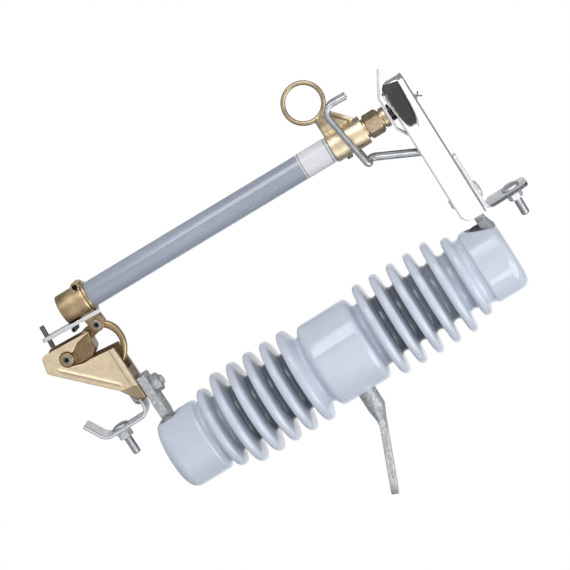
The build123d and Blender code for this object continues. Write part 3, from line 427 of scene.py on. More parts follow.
def new_finish(name, **sockets):
    """A material with one shader, and the piece's own coordinates."""
    material = bpy.data.materials.new(name)
    tree = empty_tree(material)
    shader = add(tree, "ShaderNodeBsdfPrincipled", **sockets)
    output = tree.nodes.new("ShaderNodeOutputMaterial")
    tree.links.new(shader.outputs[0], output.inputs["Surface"])
    place = tree.nodes.new("ShaderNodeTexCoord").outputs["Object"]
    return material, tree, shader, place


def noise(tree, place, scale, detail=3.0, rough=0.55, stretch=None):
    """A cloud pattern, stretched along the piece's directions where asked."""
    if stretch:
        place = add(tree, "ShaderNodeMapping", Vector=place, Scale=stretch, Rotation=(0, -LEAN, 0)).outputs[0]
    return add(
        tree, "ShaderNodeTexNoise", Vector=place, Scale=scale, Detail=detail, Roughness=rough,
    ).outputs["Fac"]


def marked(tree, name):
    """The number that a piece carries on its points."""
    node = tree.nodes.new("ShaderNodeAttribute")
    node.attribute_name = name
    return node.outputs["Fac"]


def raise_surface(tree, shader, height, strength, distance):
    """Bump from a height pattern."""
    bump = add(tree, "ShaderNodeBump", Height=height, Strength=strength, Distance=distance * MM)
    tree.links.new(bump.outputs[0], shader.inputs["Normal"])


def porcelain_finish(name, colour, groove_shade):
    """Glossy glaze over a pale body: faint clouds of tone, a slow ripple in the glaze, and painted shade, a
    darker tone, between the sheds where the piece is marked as groove."""
    material, tree, shader, place = new_finish(name, Roughness=0.08, IOR=1.5)
    cloud = spread(tree, noise(tree, place, 22.0), 0.35, 0.68, 0.0, 1.0)
    body = blend(tree, cloud, shade(colour, 1.03), shade(colour, 0.95))
    # The groove mark blends the glaze into painted shade between the sheds.
    tree.links.new(blend(tree, marked(tree, "groove"), body, shade(groove_shade, 1)), shader.inputs["Base Color"])
    raise_surface(tree, shader, noise(tree, place, 60.0, 1.0), 0.06, 1.0)
    return material


def metal_finish(name, colour, rough, grain, grain_depth, mottle, mottle_scale, skin, metallic):
    """A metal with clouded tone, uneven gloss and a fine grain, in another tone where it is marked as skin,
    which on some pieces is painted shade.
    """
    material, tree, shader, place = new_finish(name, Metallic=metallic)
    cloud = spread(tree, noise(tree, place, mottle_scale, 4.0, 0.6), 0.33, 0.67, 0.0, 1.0)
    dark = shade(colour, 1.0 - mottle)
    tone = blend(tree, cloud, shade(colour, 1.0 + 0.3 * mottle), dark)
    if skin:
        tone = blend(tree, marked(tree, "skin"), tone, blend(tree, cloud, shade(skin, 1.25), shade(skin, 0.75)))
    tree.links.new(tone, shader.inputs["Base Color"])
    fine = noise(tree, place, grain, 3.0, 0.6)
    gloss = spread(tree, noise(tree, place, mottle_scale * 1.7, 3.0), 0.3, 0.7, rough * 0.8, rough * 1.25)
    tree.links.new(gloss, shader.inputs["Roughness"])
    raise_surface(tree, shader, fine, 0.35, grain_depth)
    return material


def stainless_finish(name, colour, pocket):
    """Polished sheet with faint rolling marks, and a painted dark reflection, black, rough and not metallic,
    where it is marked as pocket.
    """
    material, tree, shader, place = new_finish(name)
    rolled = spread(tree, noise(tree, place, 60.0, 4.0, 0.6, (0.05, 1.0, 1.0)), 0.33, 0.67, 0.0, 1.0)
    # The pocket mark is a painted dark reflection.
    dark_reflection_share = spread(tree, marked(tree, "pocket"), 0.15, 0.75, 0.0, 1.0)
    sheet = blend(tree, rolled, shade(colour, 1.02), shade(colour, 0.95))
    speck = spread(tree, noise(tree, place, 2200.0, 2.0), 0.45, 0.8, 0.7, 2.2)
    painted_reflection = blend(tree, 1.0, shade(pocket, 1), speck, "MULTIPLY")
    tree.links.new(blend(tree, dark_reflection_share, sheet, painted_reflection), shader.inputs["Base Color"])
    tree.links.new(spread(tree, dark_reflection_share, 0.0, 1.0, 1.0, 0.0), shader.inputs["Metallic"])
    tree.links.new(spread(tree, dark_reflection_share, 0.0, 1.0, 0.12, 0.6), shader.inputs["Roughness"])
    raise_surface(tree, shader, noise(tree, place, 1500.0, 3.0, 0.6, (0.05, 1.0, 1.0)), 0.2, 0.02)
    return material


def galvanised_finish(name, colour):
    """Hot-dip zinc: crystals of different greys under a cloudy skin with small runs."""
    material, tree, shader, place = new_finish(name, Metallic=0.7)
    crystals = add(tree, "ShaderNodeTexVoronoi", Vector=place, Scale=420.0, Randomness=1.0)
    crystal = add(tree, "ShaderNodeSeparateColor", Color=crystals.outputs["Color"]).outputs[0]
    cloud = spread(tree, noise(tree, place, 150.0, 5.0, 0.65), 0.3, 0.7, 0.0, 1.0)
    tone = blend(tree, crystal, shade(colour, 0.62), shade(colour, 1.25))
    tree.links.new(blend(tree, cloud, tone, shade(colour, 0.75)), shader.inputs["Base Color"])
    tree.links.new(spread(tree, cloud, 0.0, 1.0, 0.5, 0.72), shader.inputs["Roughness"])
    raise_surface(tree, shader, noise(tree, place, 420.0, 4.0), 0.8, 0.8)
    return material


def cement_finish(name, colour):
    """Rough sanded cement with pores."""
    material, tree, shader, place = new_finish(name, Roughness=0.95)
    cloud = noise(tree, place, 500.0, 6.0, 0.7)
    tree.links.new(blend(tree, cloud, shade(colour, 0.5), shade(colour, 1.6)), shader.inputs["Base Color"])
    raise_surface(tree, shader, cloud, 0.8, 0.8)
    return material


def paint_finish(name, colour):
    """Satin paint on a wound tube: faint long streaks and an orange-peel skin."""
    material, tree, shader, place = new_finish(name, Roughness=0.25, Coat_Weight=0.6, Coat_Roughness=0.1)
    streak = spread(tree, noise(tree, place, 40.0, 3.0, 0.5, (1.0, 1.0, 0.1)), 0.3, 0.7, 0.0, 1.0)
    tree.links.new(blend(tree, streak, shade(colour, 1.05), shade(colour, 0.93)), shader.inputs["Base Color"])
    raise_surface(tree, shader, noise(tree, place, 700.0, 2.0), 0.03, 0.3)
    return material


def label_finish(name, colour, line):
    """A bare white plate with a thin dark border, drawn from the distance to its edges in its own map."""
    material, tree, shader, _ = new_finish(name, Roughness=0.35)
    uv = tree.nodes.new("ShaderNodeTexCoord").outputs["UV"]
    parts = add(tree, "ShaderNodeSeparateXYZ", Vector=uv).outputs[:2]
    outer = calc(tree, "MAXIMUM", *(calc(tree, "ABSOLUTE", calc(tree, "SUBTRACT", part, 0.5)) for part in parts))
    band = calc(tree, "COMPARE", outer, 0.445, 0.016)
    tree.links.new(blend(tree, band, shade(colour, 1), shade(line, 1)), shader.inputs["Base Color"])
    return material


def refinish(made, finish):
    """Gives a piece a finish of its own inside its slot."""
    made.data.materials[0] = finish


def finish_of(slot):
    """The material of a slot, made once."""
    name = "finish_" + slot
    made = bpy.data.materials.get(name)
    if made:
        return made
    colours = bpy.context.scene.cutout_colours
    if slot in METALS:
        colour, *numbers, skin, metallic = METALS[slot]
        return metal_finish(name, getattr(colours, colour), *numbers, skin and getattr(colours, skin), metallic)
    if slot == "porcelain_glaze":
        return porcelain_finish(name, colours.glaze, colours.painted_groove_shade)
    if slot == "socket_cement":
        return cement_finish(name, colours.cement)
    if slot == "galvanised_steel":
        return galvanised_finish(name, colours.galvanised)
    if slot == "polished_stainless":
        return stainless_finish(name, colours.stainless, colours.pocket)
    return paint_finish(name, colours.tube_paint)


# Property groups


def size_property(name, description, default):
    """A length that a user may change, in millimetres."""
    return FloatProperty(name=name, description=description, default=default, min=0.0, subtype="DISTANCE")


def colour_property(name, description, default):
    """A finish's colour that a user may change."""
    return FloatVectorProperty(
        name=name, description=description, default=default, size=3, min=0.0, max=1.0, subtype="COLOR",
    )


def studio_property(name, description, default, unit="NONE"):
    """A number of the studio that a user may change."""
    return FloatProperty(name=name, description=description, default=default, unit=unit)


class CutoutSizes(bpy.types.PropertyGroup):
    """Sizes in millimetres that the finished surfaces take."""

    shed_d: size_property("Shed diameter", "Diameter of the large sheds", 97.6)
    end_shed_d: size_property("End shed diameter", "Diameter of the last shed at each end", 84.0)
    core_d: size_property("Core diameter", "Diameter between the sheds", 60.0)
    rim_r: size_property("Rim radius", "Radius of the glazed shed rims", 3.7)
    tube_d: size_property("Tube diameter", "Outside diameter of the fuse tube", 25.4)
    hood_bend: size_property("Hood bend", "Bend radius of the hood's sheet", 2.4)
    hook_d: size_property("Hook rod", "Diameter of the load-break hooks' rod", 5.8)
    thread_pitch: size_property("Thread pitch", "Pitch of the clamp studs", 1.25)
    cast_grid: size_property("Casting grid", "Voxel size that sets how soft the castings' edges are", 0.6)
    label_length: size_property("Label length", "Length of the bare plate on the tube", 31.0)


class CutoutColours(bpy.types.PropertyGroup):
    """Colours of the finishes."""

    glaze: colour_property("Glaze", "Pale glaze of the porcelain", (0.56, 0.61, 0.70))
    # Painted shade between the sheds: the colour that the glaze turns to in its grooves.
    painted_groove_shade: colour_property("Pooled glaze", "Deeper glaze between the sheds", (0.05, 0.06, 0.08))
    cement: colour_property("Cement", "Cement in the sockets", (0.10, 0.10, 0.11))
    galvanised: colour_property("Galvanised", "Hot-dip zinc on the bars and strap", (0.51, 0.53, 0.54))
    zinc: colour_property("Zinc", "Bright plating of the terminals and the leaf", (0.66, 0.68, 0.70))
    dull_steel: colour_property("Dull steel", "Studs and hook rods", (0.40, 0.415, 0.43))
    # Painted shade along the edges of the strips.
    sheared_edge: colour_property("Sheared edge", "Dark sheared edges of the strips", (0.09, 0.09, 0.095))
    stainless: colour_property("Stainless", "Polished sheet of the hood", (0.90, 0.90, 0.91))
    # Painted dark reflection in the hood's pocket and along its bend, and painted shade in the screws' sockets.
    pocket: colour_property("Pocket lining", "Dark lining of the hood's pockets", (0.018, 0.018, 0.020))
    spring_steel: colour_property("Spring steel", "Springs and pins", (0.17, 0.155, 0.14))
    screw_steel: colour_property("Screw steel", "Browned steel of the pivot screws", (0.40, 0.37, 0.33))
    cast_brass: colour_property("Cast brass", "Sand-cast hinge", (0.68, 0.565, 0.40))
    brown_brass: colour_property("Brown brass", "Browned trunnion and lower ferrule", (0.47, 0.35, 0.20))
    golden_brass: colour_property("Golden brass", "Upper ferrule and cap", (0.67, 0.56, 0.39))
    # Brown casting skin on the trunnion, the upper ferrule and the cap, and painted shade on the hinge and the
    # lower ferrule.
    casting_skin: colour_property("Casting skin", "Brown skin of rough places", (0.19, 0.13, 0.075))
    tube_paint: colour_property("Tube paint", "Satin paint of the fuse tube", (0.29, 0.325, 0.395))
    label: colour_property("Label", "Bare plate on the tube", (0.66, 0.67, 0.70))
    label_line: colour_property("Label border", "Thin line round the plate", (0.20, 0.20, 0.23))


class CutoutStudio(bpy.types.PropertyGroup):
    """The camera and the light."""

    azimuth: studio_property("Azimuth", "Camera's turn round the object, in degrees", -8.18)
    elevation: studio_property("Elevation", "Camera's height, in degrees", 3.526)
    roll: studio_property("Roll", "Camera's turn about its own axis, in degrees", 80.382)
    reach: studio_property("Reach", "Camera to aim point", 1.6022, "LENGTH")
    lens: studio_property("Lens", "Focal length on a 36 mm sensor", 107.37)
    key: studio_property("Left light", "Power of the left soft box", 16.0, "POWER")
    fill: studio_property("Right light", "Power of the right soft box", 25.0, "POWER")
    strip: studio_property("Strip light", "Power of the long strip lamp", 22.5, "POWER")
    ambient: studio_property("Ambient", "Plain light from all sides", 0.3)
    floor_drop: studio_property("Floor drop", "Floor below the part", 0.5, "LENGTH")


# Operators


class CUTOUT_OT_insulator(bpy.types.Operator):
    """Turns the porcelain body and sinks its three sockets"""

    bl_idname = "cutout.insulator"
    bl_label = "Insulator"

    # Where the painted shade between the sheds is lighter: the place, its half length and the share left out.
    LIGHTER_GROOVE_SHADE = (
        (-141.5, 4.5, 1.0), (-30.0, 9.0, 1.0), (35.5, 4.5, 0.4), (91.5, 8.0, 0.12), (110.0, 8.0, 0.3),
        (129.0, 8.0, 0.5), (148.0, 7.5, 1.0),
    )

    def execute(self, context):
        sizes = context.scene.cutout_sizes
        core = sizes.core_d / 2
        points = [(-BODY_END_U, 0.5), (-BODY_END_U, END_DRUM_R), (-145.0, END_DRUM_R), (-143.5, core + 3.5)]
        radii = [0.0, 9.5, 5.0, 3.5]
        steps, last = SHED_PITCH * np.arange(SHEDS_PER_END), 2 * SHEDS_PER_END - 1
        for count, middle in enumerate(np.concatenate([LOW_SHEDS_U + steps, HIGH_SHEDS_U + steps])):
            if count == SHEDS_PER_END:
                points += [(-26.0, core + 6.0), (-22.5, CENTRE_DRUM_R), (31.0, CENTRE_DRUM_R), (32.0, core + 2.5)]
                radii += [5.0, 13.0, 13.0, 4.0]
            outer = (sizes.end_shed_d if count in (0, last) else sizes.shed_d) / 2
            low_rise = 0.0 if count % SHEDS_PER_END else 3.0
            high_run, high_rise = {SHEDS_PER_END - 1: (10.0, 4.5), last: (7.0, 3.5)}.get(count, (5.8, 0.0))
            points += [(middle - 5.2, core + low_rise), (middle - 3.6, outer), (middle + 4.0, outer)]
            points.append((middle + high_run, core + high_rise))
            radii += [3.6, sizes.rim_r, sizes.rim_r, 3.6]
        points += [(151.0, core + 5.0), (153.0, END_DRUM_R), (BODY_END_U, END_DRUM_R), (BODY_END_U, 0.5)]
        radii += [3.5, 5.0, 9.5, 0.0]
        profile = self.with_drum_rows(round_corners(points, radii, steps=5))
        angle = np.linspace(0, 2 * np.pi, 192, endpoint=False)[None, :]
        u, r = profile[:, :1] + 0 * angle, profile[:, 1:] + 0 * angle
        x, y = r * np.cos(angle), r * np.sin(angle)
        slanted_flat = 0.36 * (u - 158.0) - 37.2
        x = np.maximum(x, np.where(u > 150.0, slanted_flat, -60.0))
        sockets = (-SOCKET_U, -1, END_DRUM_R), (SOCKET_U, -1, END_DRUM_R - 5.0), (STRAP_U, 1, CENTRE_DRUM_R)
        for socket_u, way, drum in sockets:
            off = np.hypot(u - socket_u, y)
            sunk = 1 - np.clip((off - SOCKET_R + SOCKET_EDGE) / SOCKET_EDGE, 0, 1) ** 2
            sunk = np.where((off < SOCKET_R) & (x * way > 20), sunk, 0)
            x = x + sunk * (way * (drum - 5.4) - x)
        shell = grid_shell(np.stack([x, y, u], -1))
        made = piece("porcelain_body", [shell], BASE, "porcelain_glaze", ["insulator_body"], 60.0)
        # The groove mark is painted shade between the sheds.
        mark(made, "groove", np.repeat(self.depth_between(profile), angle.size))
        return {"FINISHED"}

    @classmethod
    def depth_between(cls, profile):
        """How deep each place lies between its neighbours: the open angle that is left between the steepest
        sight lines to both sides of the profile, eased from wide open, 0, to narrow, 1. This is the share of
        painted shade on the glaze, which is made lighter next to the drums and on the upper flanks."""
        u, r = profile.T
        ahead = u[None, :] - u[:, None]
        rise = np.arctan2(np.maximum(r[None, :] - r[:, None], 0), np.abs(ahead) + 1e-6)
        before = np.where(ahead < -1e-6, rise, 0).max(axis=1)
        after = np.where(ahead > 1e-6, rise, 0).max(axis=1)
        # Painted shade is made lighter at the listed places and, below, on the upper flanks.
        thin = sum(share * np.exp(-((u - place) / reach) ** 4) for place, reach, share in cls.LIGHTER_GROOVE_SHADE)
        run = np.gradient(profile, axis=0)
        falling = smooth_step(-run[:, 1] / (np.linalg.norm(run, axis=1) + 1e-9), 0.6, 0.97)
        return (1 - smooth_step(np.pi - before - after, 0.52, 1.06)) * (1 - thin) * (1 - 0.7 * falling)

    @staticmethod
    def with_drum_rows(profile):
        """The profile with close rows on the drums, where the sockets are sunk."""
        gaps = np.abs(np.diff(profile[:, 0]))
        long_runs = np.flatnonzero((gaps > 4.0) & (profile[:-1, 1] > 35.0) & (profile[1:, 1] > 35.0))
        runs, start = [], 0
        for k in long_runs:
            runs += [profile[start:k], fill_runs(profile[k:k + 2], 1.2)]
            start = k + 2
        return np.concatenate(runs + [profile[start:]])


class CUTOUT_OT_sockets(bpy.types.Operator):
    """Gives the cement its rough finish and flares the upper bar at its root"""

    bl_idname = "cutout.sockets"
    bl_label = "Socket cement"

    def execute(self, context):
        for name in ("lower_socket_cement", "strap_socket_cement"):
            NODES[name].data.materials.clear()
            NODES[name].data.materials.append(finish_of("socket_cement"))
        heap = [(12.0, 0.5), (12.0, 12.4), (28.5, 12.4), (31.0, 10.4), (34.0, 7.0), (36.0, 4.6), (36.0, 0.5)]
        piece("upper_cement", [self.mound(heap, 169.8)], BASE, "socket_cement", ["upper_socket_cement"], 60.0)
        flare = [(22.0, 0.5), (22.0, 8.0), (30.0, 8.0), (32.5, 6.9), (36.5, 5.2), (41.0, 4.1), (46.0, 3.4)]
        root = self.mound(flare + [(46.0, 0.5)], 179.4)
        piece("upper_bar_root", [root], BASE, "galvanised_steel", sharp=60.0)
        return {"FINISHED"}

    @staticmethod
    def mound(rows, u):
        """A shape turned about a line that runs straight forward at a height, from its reaches and radii."""
        return turned(fill_runs(np.array(rows), 1.0), spot(u, 0.0), -BACK, UP, 64)


class CUTOUT_OT_forgings(bpy.types.Operator):
    """Softens the edges of the strap and the two support bars"""

    bl_idname = "cutout.forgings"
    bl_label = "Strap and bars"

    def execute(self, context):
        softened("forged_strap", "mounting_strap", BASE, "galvanised_steel", 0.9, 7, self.strap_relief)
        softened("lower_bar", "lower_support_bar", BASE, "galvanised_steel", 0.7, 6)
        softened("upper_bar", "upper_support_bar", BASE, "galvanised_steel", 0.7, 6)
        return {"FINISHED"}

    @staticmethod
    def strap_relief(points):
        """The strap is forged flat over a short length: its taper, from the root's end plane to the flat's
        first plane, is pressed together towards the root, and the flat is drawn out to meet it."""
        u, f = points[:, 2], -points[:, 0]
        ahead, normal = np.array([-np.sin(LEAN), -np.cos(LEAN)]), np.array([np.cos(LEAN), -np.sin(LEAN)])
        root_end, flat_start = np.array([0.0, -67.5]), np.array([-7.65, -95.98])
        flat_from, flat_depth, kept_from, tip = 73.0, 28.6, 118.0, 150.0
        new_root, new_flat = np.array([STRAP_U, -61.5]), flat_from * ahead + flat_depth * normal
        place = np.stack([u, f], -1)
        past_root, short = root_end[1] - f, flat_start @ ahead - place @ ahead
        share = np.clip(past_root / np.maximum(past_root + short, 1e-6), 0, 1)
        share = np.where(past_root <= 0, 0, np.where(short <= 0, 1, share))[:, None]
        turn = share[:, 0] * LEAN
        across = np.stack([np.cos(turn), -np.sin(turn)], -1)
        offset = np.sum((place - (1 - share) * root_end - share * flat_start) * across, axis=1)[:, None]
        taper = (1 - share) * new_root + share * new_flat + offset * across
        root_f = np.interp(-f, [0.0, CENTRE_DRUM_R, -root_end[1]], [0.0, CENTRE_DRUM_R, -new_root[1]])
        root = np.stack([u + STRAP_U * smooth_step(-f, 20.0, 42.0), -root_f], -1)
        along = np.interp(place @ ahead, [flat_start @ ahead, kept_from, tip], [flat_from, kept_from, tip])
        sunk = place @ normal - (flat_start - new_flat) @ normal
        flat = along[:, None] * ahead + sunk[:, None] * normal
        moved = np.where(past_root[:, None] <= 0, root, np.where(short[:, None] <= 0, flat, taper))
        return np.stack([-moved[:, 1], points[:, 1], moved[:, 0]], -1)


class CUTOUT_OT_castings(bpy.types.Operator):
    """Softens the hinge, the trunnion and both ferrules as sand castings"""

    bl_idname = "cutout.castings"
    bl_label = "Brass castings"

    def execute(self, context):
        grid = context.scene.cutout_sizes.cast_grid
        fine = grid * 0.9
        for casting in (
            ("hinge_body", "hinge_casting", BASE, "pale_cast_brass", grid, 5, self.cheek_relief, self.cheek_painted_shade),
            ("trunnion_body", "trunnion", HOLDER, "brown_brass", fine, 5, self.horn_relief, self.arm_skin),
            ("lower_ferrule_body", "lower_ferrule", HOLDER, "brown_brass", fine, 4, self.barrel_relief,
             self.barrel_painted_shade),
            ("upper_ferrule_body", "upper_ferrule", HOLDER, "golden_brass", fine, 4, None, self.ring_skin),
        ):
            softened(*casting)
        self.fan()
        return {"FINISHED"}

    @staticmethod
    def fan():
        """The trunnion's broad web, which spreads from the barrel towards the toggle between the cheeks."""
        outline = [(-219.0, 141.2), (-208.4, 143.0), (-194.0, 150.4), (-188.2, 146.6), (-191.6, 138.0),
                   (-192.2, 129.5), (-199.0, 124.4), (-219.0, 127.4)]
        outline = round_corners(outline, [4.0, 12.0, 3.0, 2.0, 12.0, 3.0, 6.0, 4.0], closed=True, steps=5)
        web = plate(outline, -13.6, 13.6, 1.4, 0 * UP, UP, -BACK)
        made = piece("trunnion_web", [web], HOLDER, "brown_brass")
        mark(made, "skin", np.full(len(made.data.vertices), 0.9))

    @staticmethod
    def from_pivot(points):
        """The distance of each point from the pivot's line."""
        return np.hypot(points[:, 2] - PIVOT_U, points[:, 0] + PIVOT_F)

    @staticmethod
    def past_foot(points):
        """How far each point lies beyond the line where the hinge's foot begins to slope."""
        return -0.188 * (points[:, 2] + 193.6) - 0.982 * (-points[:, 0] - 83.6)

    @classmethod
    def horn_relief(cls, points):
        """The horn arches a little further forward than its blank."""
        horn = smooth_step(cls.from_pivot(points), 44.0, 56.0)
        return points - (3.2 * horn)[:, None] * BACK

    @staticmethod
    def barrel_painted_shade(points):
        """The lower ferrule has painted shade towards its lower end and on its back."""
        off = points - spot(0.0, TUBE_F)
        low, back = smooth_step(-(off @ TUBE_UP), 187.0, 200.0), smooth_step(off @ TUBE_SIDE, 5.0, 14.0)
        return np.clip(0.6 * low + 0.5 * back, 0, 0.8)

    @staticmethod
    def ring_skin(points):
        """The upper ferrule is bright on its barrel and browner on its ring."""
        off = points - spot(0.0, TUBE_F)
        out = off - (off @ TUBE_UP)[:, None] * TUBE_UP
        return 0.55 * smooth_step(np.linalg.norm(out, axis=1), 19.0, 24.0)

    @classmethod
    def cheek_relief(cls, points):
        """The hinge's outer faces: a bead along the lower edge, a raised band along the foot, a slope that falls
        away at the foot's back corner, and a ring round the pivot's seat, all as shifts across the part."""
        f, y, u = -points[:, 0], points[:, 1], points[:, 2]
        outer = np.abs(y) > 17.0
        start, end = np.array([-231.0, 130.5]), np.array([-190.0, 89.0])
        run = end - start
        share = np.clip(((u - start[0]) * run[0] + (f - start[1]) * run[1]) / (run @ run), 0, 1)
        gap = np.hypot(u - start[0] - share * run[0], f - start[1] - share * run[1])
        shift = 1.0 * np.exp(-(gap / 1.3) ** 2)
        shift = shift + 0.9 * smooth_step(u, -181.4, -180.4) * smooth_step(f, 79.0, 82.0) * (f < 124.0)
        shift = shift - 0.30 * np.maximum(cls.past_foot(points), 0)
        shift = shift - 1.3 * np.exp(-((cls.from_pivot(points) - PIVOT_SEAT_R) / 0.7) ** 2)
        y = y + np.where(outer, np.sign(y) * shift, 0)
        return np.stack([points[:, 0], y, u], -1)

    @classmethod
    def cheek_painted_shade(cls, points):
        """The hinge has painted shade inside between its cheeks, on the slope at its foot that faces away and
        round the pivot's seat; the outer faces are blasted."""
        inside = 1 - smooth_step(np.abs(points[:, 1]), 14.6, 15.6)
        slope = smooth_step(cls.past_foot(points), 0.0, 0.8)
        seat = np.exp(-((cls.from_pivot(points) - PIVOT_SEAT_R) / 0.8) ** 2)
        return np.maximum(np.maximum(inside, 0.62 * slope), 0.9 * seat)

    @classmethod
    def arm_skin(cls, points):
        """The trunnion is brown but for its barrel's ends, which turn in the hinge, and its horn."""
        ends = smooth_step(np.abs(points[:, 1]), 16.0, 17.0)
        return 0.8 * (1 - ends) * (1 - 0.7 * smooth_step(cls.from_pivot(points), 36.0, 48.0))

    @staticmethod
    def barrel_relief(points):
        """The lower ferrule's barrel: a raised rim at its upper end and a groove under it, as shifts out from
        the tube's axis."""
        off = points - spot(0.0, TUBE_F)
        along = off @ TUBE_UP
        out = off - along[:, None] * TUBE_UP
        radius = np.linalg.norm(out, axis=1)
        skin = (radius > 14.6) & (radius < 16.0)
        push = 0.7 * smooth_step(along, -173.6, -172.8) - 0.6 * np.exp(-((along + 174.4) / 0.6) ** 2)
        return points + np.where(skin, push / radius, 0)[:, None] * out


class CUTOUT_OT_terminals(bpy.types.Operator):
    """Bends the two terminal strips and fits their studs, washers and nuts"""

    bl_idname = "cutout.terminals"
    bl_label = "Terminals"

    def execute(self, context):
        section = flat_section(STRIP_WIDTH, STRIP_THICKNESS, 0.8)
        upper = [spot(188.85, 104.0), spot(188.85, 47.5), spot(232.8, 47.5)]
        lower = [spot(-183.75, 82.0), spot(-183.75, 50.0), spot(-232.0, 50.0), spot(-244.0, 72.0)]
        askew = np.radians(11.0)
        self.strip("upper_clamp_strip", section, upper, [0, 3.0, 0], "upper_terminal", (3.0, 6.0), askew)
        self.strip("lower_clamp_strip", section, lower, [0, 9.0, 12.0, 0], "lower_terminal", (0.0, 2.0))
        for side, u, pad_f, turn in (("upper", 217.4, 47.5, askew), ("lower", -216.4, 50.0, 0.0)):
            self.stud(context, side, u, pad_f, turn)
        return {"FINISHED"}

    @staticmethod
    def strip(name, section, route, bends, node, end_rounds, askew=0.0):
        """A strip along its rounded route, its width drawn in by a quarter circle at a rounded end, and turned
        about the insulator's direction past its first bend where the bend is askew. A straight strip has
        painted shade along the corners of its sides, and a pad that is askew has painted shade all over them."""
        path = fill_runs(round_corners(route, bends, steps=10), 1.0)
        length = np.concatenate([[0], np.cumsum(np.linalg.norm(np.diff(path, axis=0), axis=1))])
        widths = np.ones(len(path))
        for end, radius in zip((length, length[-1] - length), end_rounds):
            if radius:
                lost = radius - np.sqrt(np.maximum(radius ** 2 - np.clip(radius - end, 0, radius) ** 2, 0))
                widths = widths - 2 * lost / STRIP_WIDTH
        turn = askew * smooth_step(path[:, 2], 189.2, 196.0)[:, None]
        across = np.cos(turn) * ACROSS - np.sin(turn) * BACK
        made = piece(name, [carried(section, path, across, widths)], BASE, "zinc_plated_steel", [node])
        # The skin mark here is painted shade along the strip's sides.
        from_side = STRIP_WIDTH / 2 - np.abs(section[:, 0])
        edge = (1 - smooth_step(from_side, 0.2, 0.7)) * (1.0 if askew else 0.8 * (from_side > 0.05))
        pad = smooth_step(path[:, 2], 190.0, 194.0) if askew else np.ones(len(path))
        mark(made, "skin", np.outer(pad, edge).ravel())

    @staticmethod
    def stud(context, side, u, pad_f, turn):
        """A round-headed stud that points back, turned with its pad, its thread a sawtooth of height and angle."""
        pitch, sides = context.scene.cutout_sizes.thread_pitch, 40
        face = pad_f + STRIP_THICKNESS / 2
        nut_front = pad_f - STRIP_THICKNESS / 2 - WASHER_THICKNESS
        end = pad_f - 27.85
        forward = -np.cos(turn) * BACK - np.sin(turn) * ACROSS
        angle = np.linspace(0, np.pi / 2, 9)
        dome = [(face + 0.8 + 3.2 * np.sin(a), 9.0 * np.cos(a) + 0.01) for a in angle[1:]]
        shank = np.linspace(end + 1.0, face - 3.0, int((face - end) / pitch * 8))
        rows = [(end, 2.9), (end, 3.0)] + [(h, 4.0, 1) for h in shank] + [(face, 4.0), (face, 8.8)]
        rows += [(face + 0.8, 9.0)] + dome
        origin = spot(u, pad_f) - pad_f * forward
        bolt = turned(rows, origin, forward, UP, sides, thread=0.2, pitch=pitch)
        made = piece(side + "_stud", [bolt], BASE, "zinc_plated_steel", [side + "_terminal_bolt"])
        refinish(made, finish_of("dull_steel"))
        bright_head = np.arange(len(rows)) >= len(rows) - len(dome)
        mark(made, "skin", np.repeat(bright_head * (0.9 if turn else 0.3), sides))
        washer = [(0, 4.0), (0, 8.2), (0.3, 8.5), (WASHER_THICKNESS - 0.3, 8.5)]
        washer += [(WASHER_THICKNESS, 8.2), (WASHER_THICKNESS, 4.0)]
        disc = turned(washer, origin + nut_front * forward, forward, UP, 48, wrap=True)
        piece(side + "_washer", [disc], BASE, "zinc_plated_steel", [side + "_terminal_washer"])
        nut = hexagon_nut(origin + nut_front * forward, -forward, UP, 13.0, 6.5, 3.95)
        piece(side + "_clamp_nut", [nut], BASE, "zinc_plated_steel", [side + "_terminal_nut"])


def hexagon_nut(origin, axis, side, flats, height, bore):
    """A nut: a turned profile with chamfered ends held inside a hexagon."""
    corner = flats / np.sqrt(3) + 0.1
    rise = (corner - flats * 0.49) * 0.55
    rows = [(0.5, bore), (0, bore + 0.6), (0, flats * 0.47), (rise, corner), (height - rise, corner)]
    rows += [(height, flats * 0.47), (height, bore + 0.6), (height - 0.5, bore)]
    fine = fill_runs(np.array(rows), 0.8)
    return turned(fine, origin, axis, side, 60, flats=flats, wrap=True)


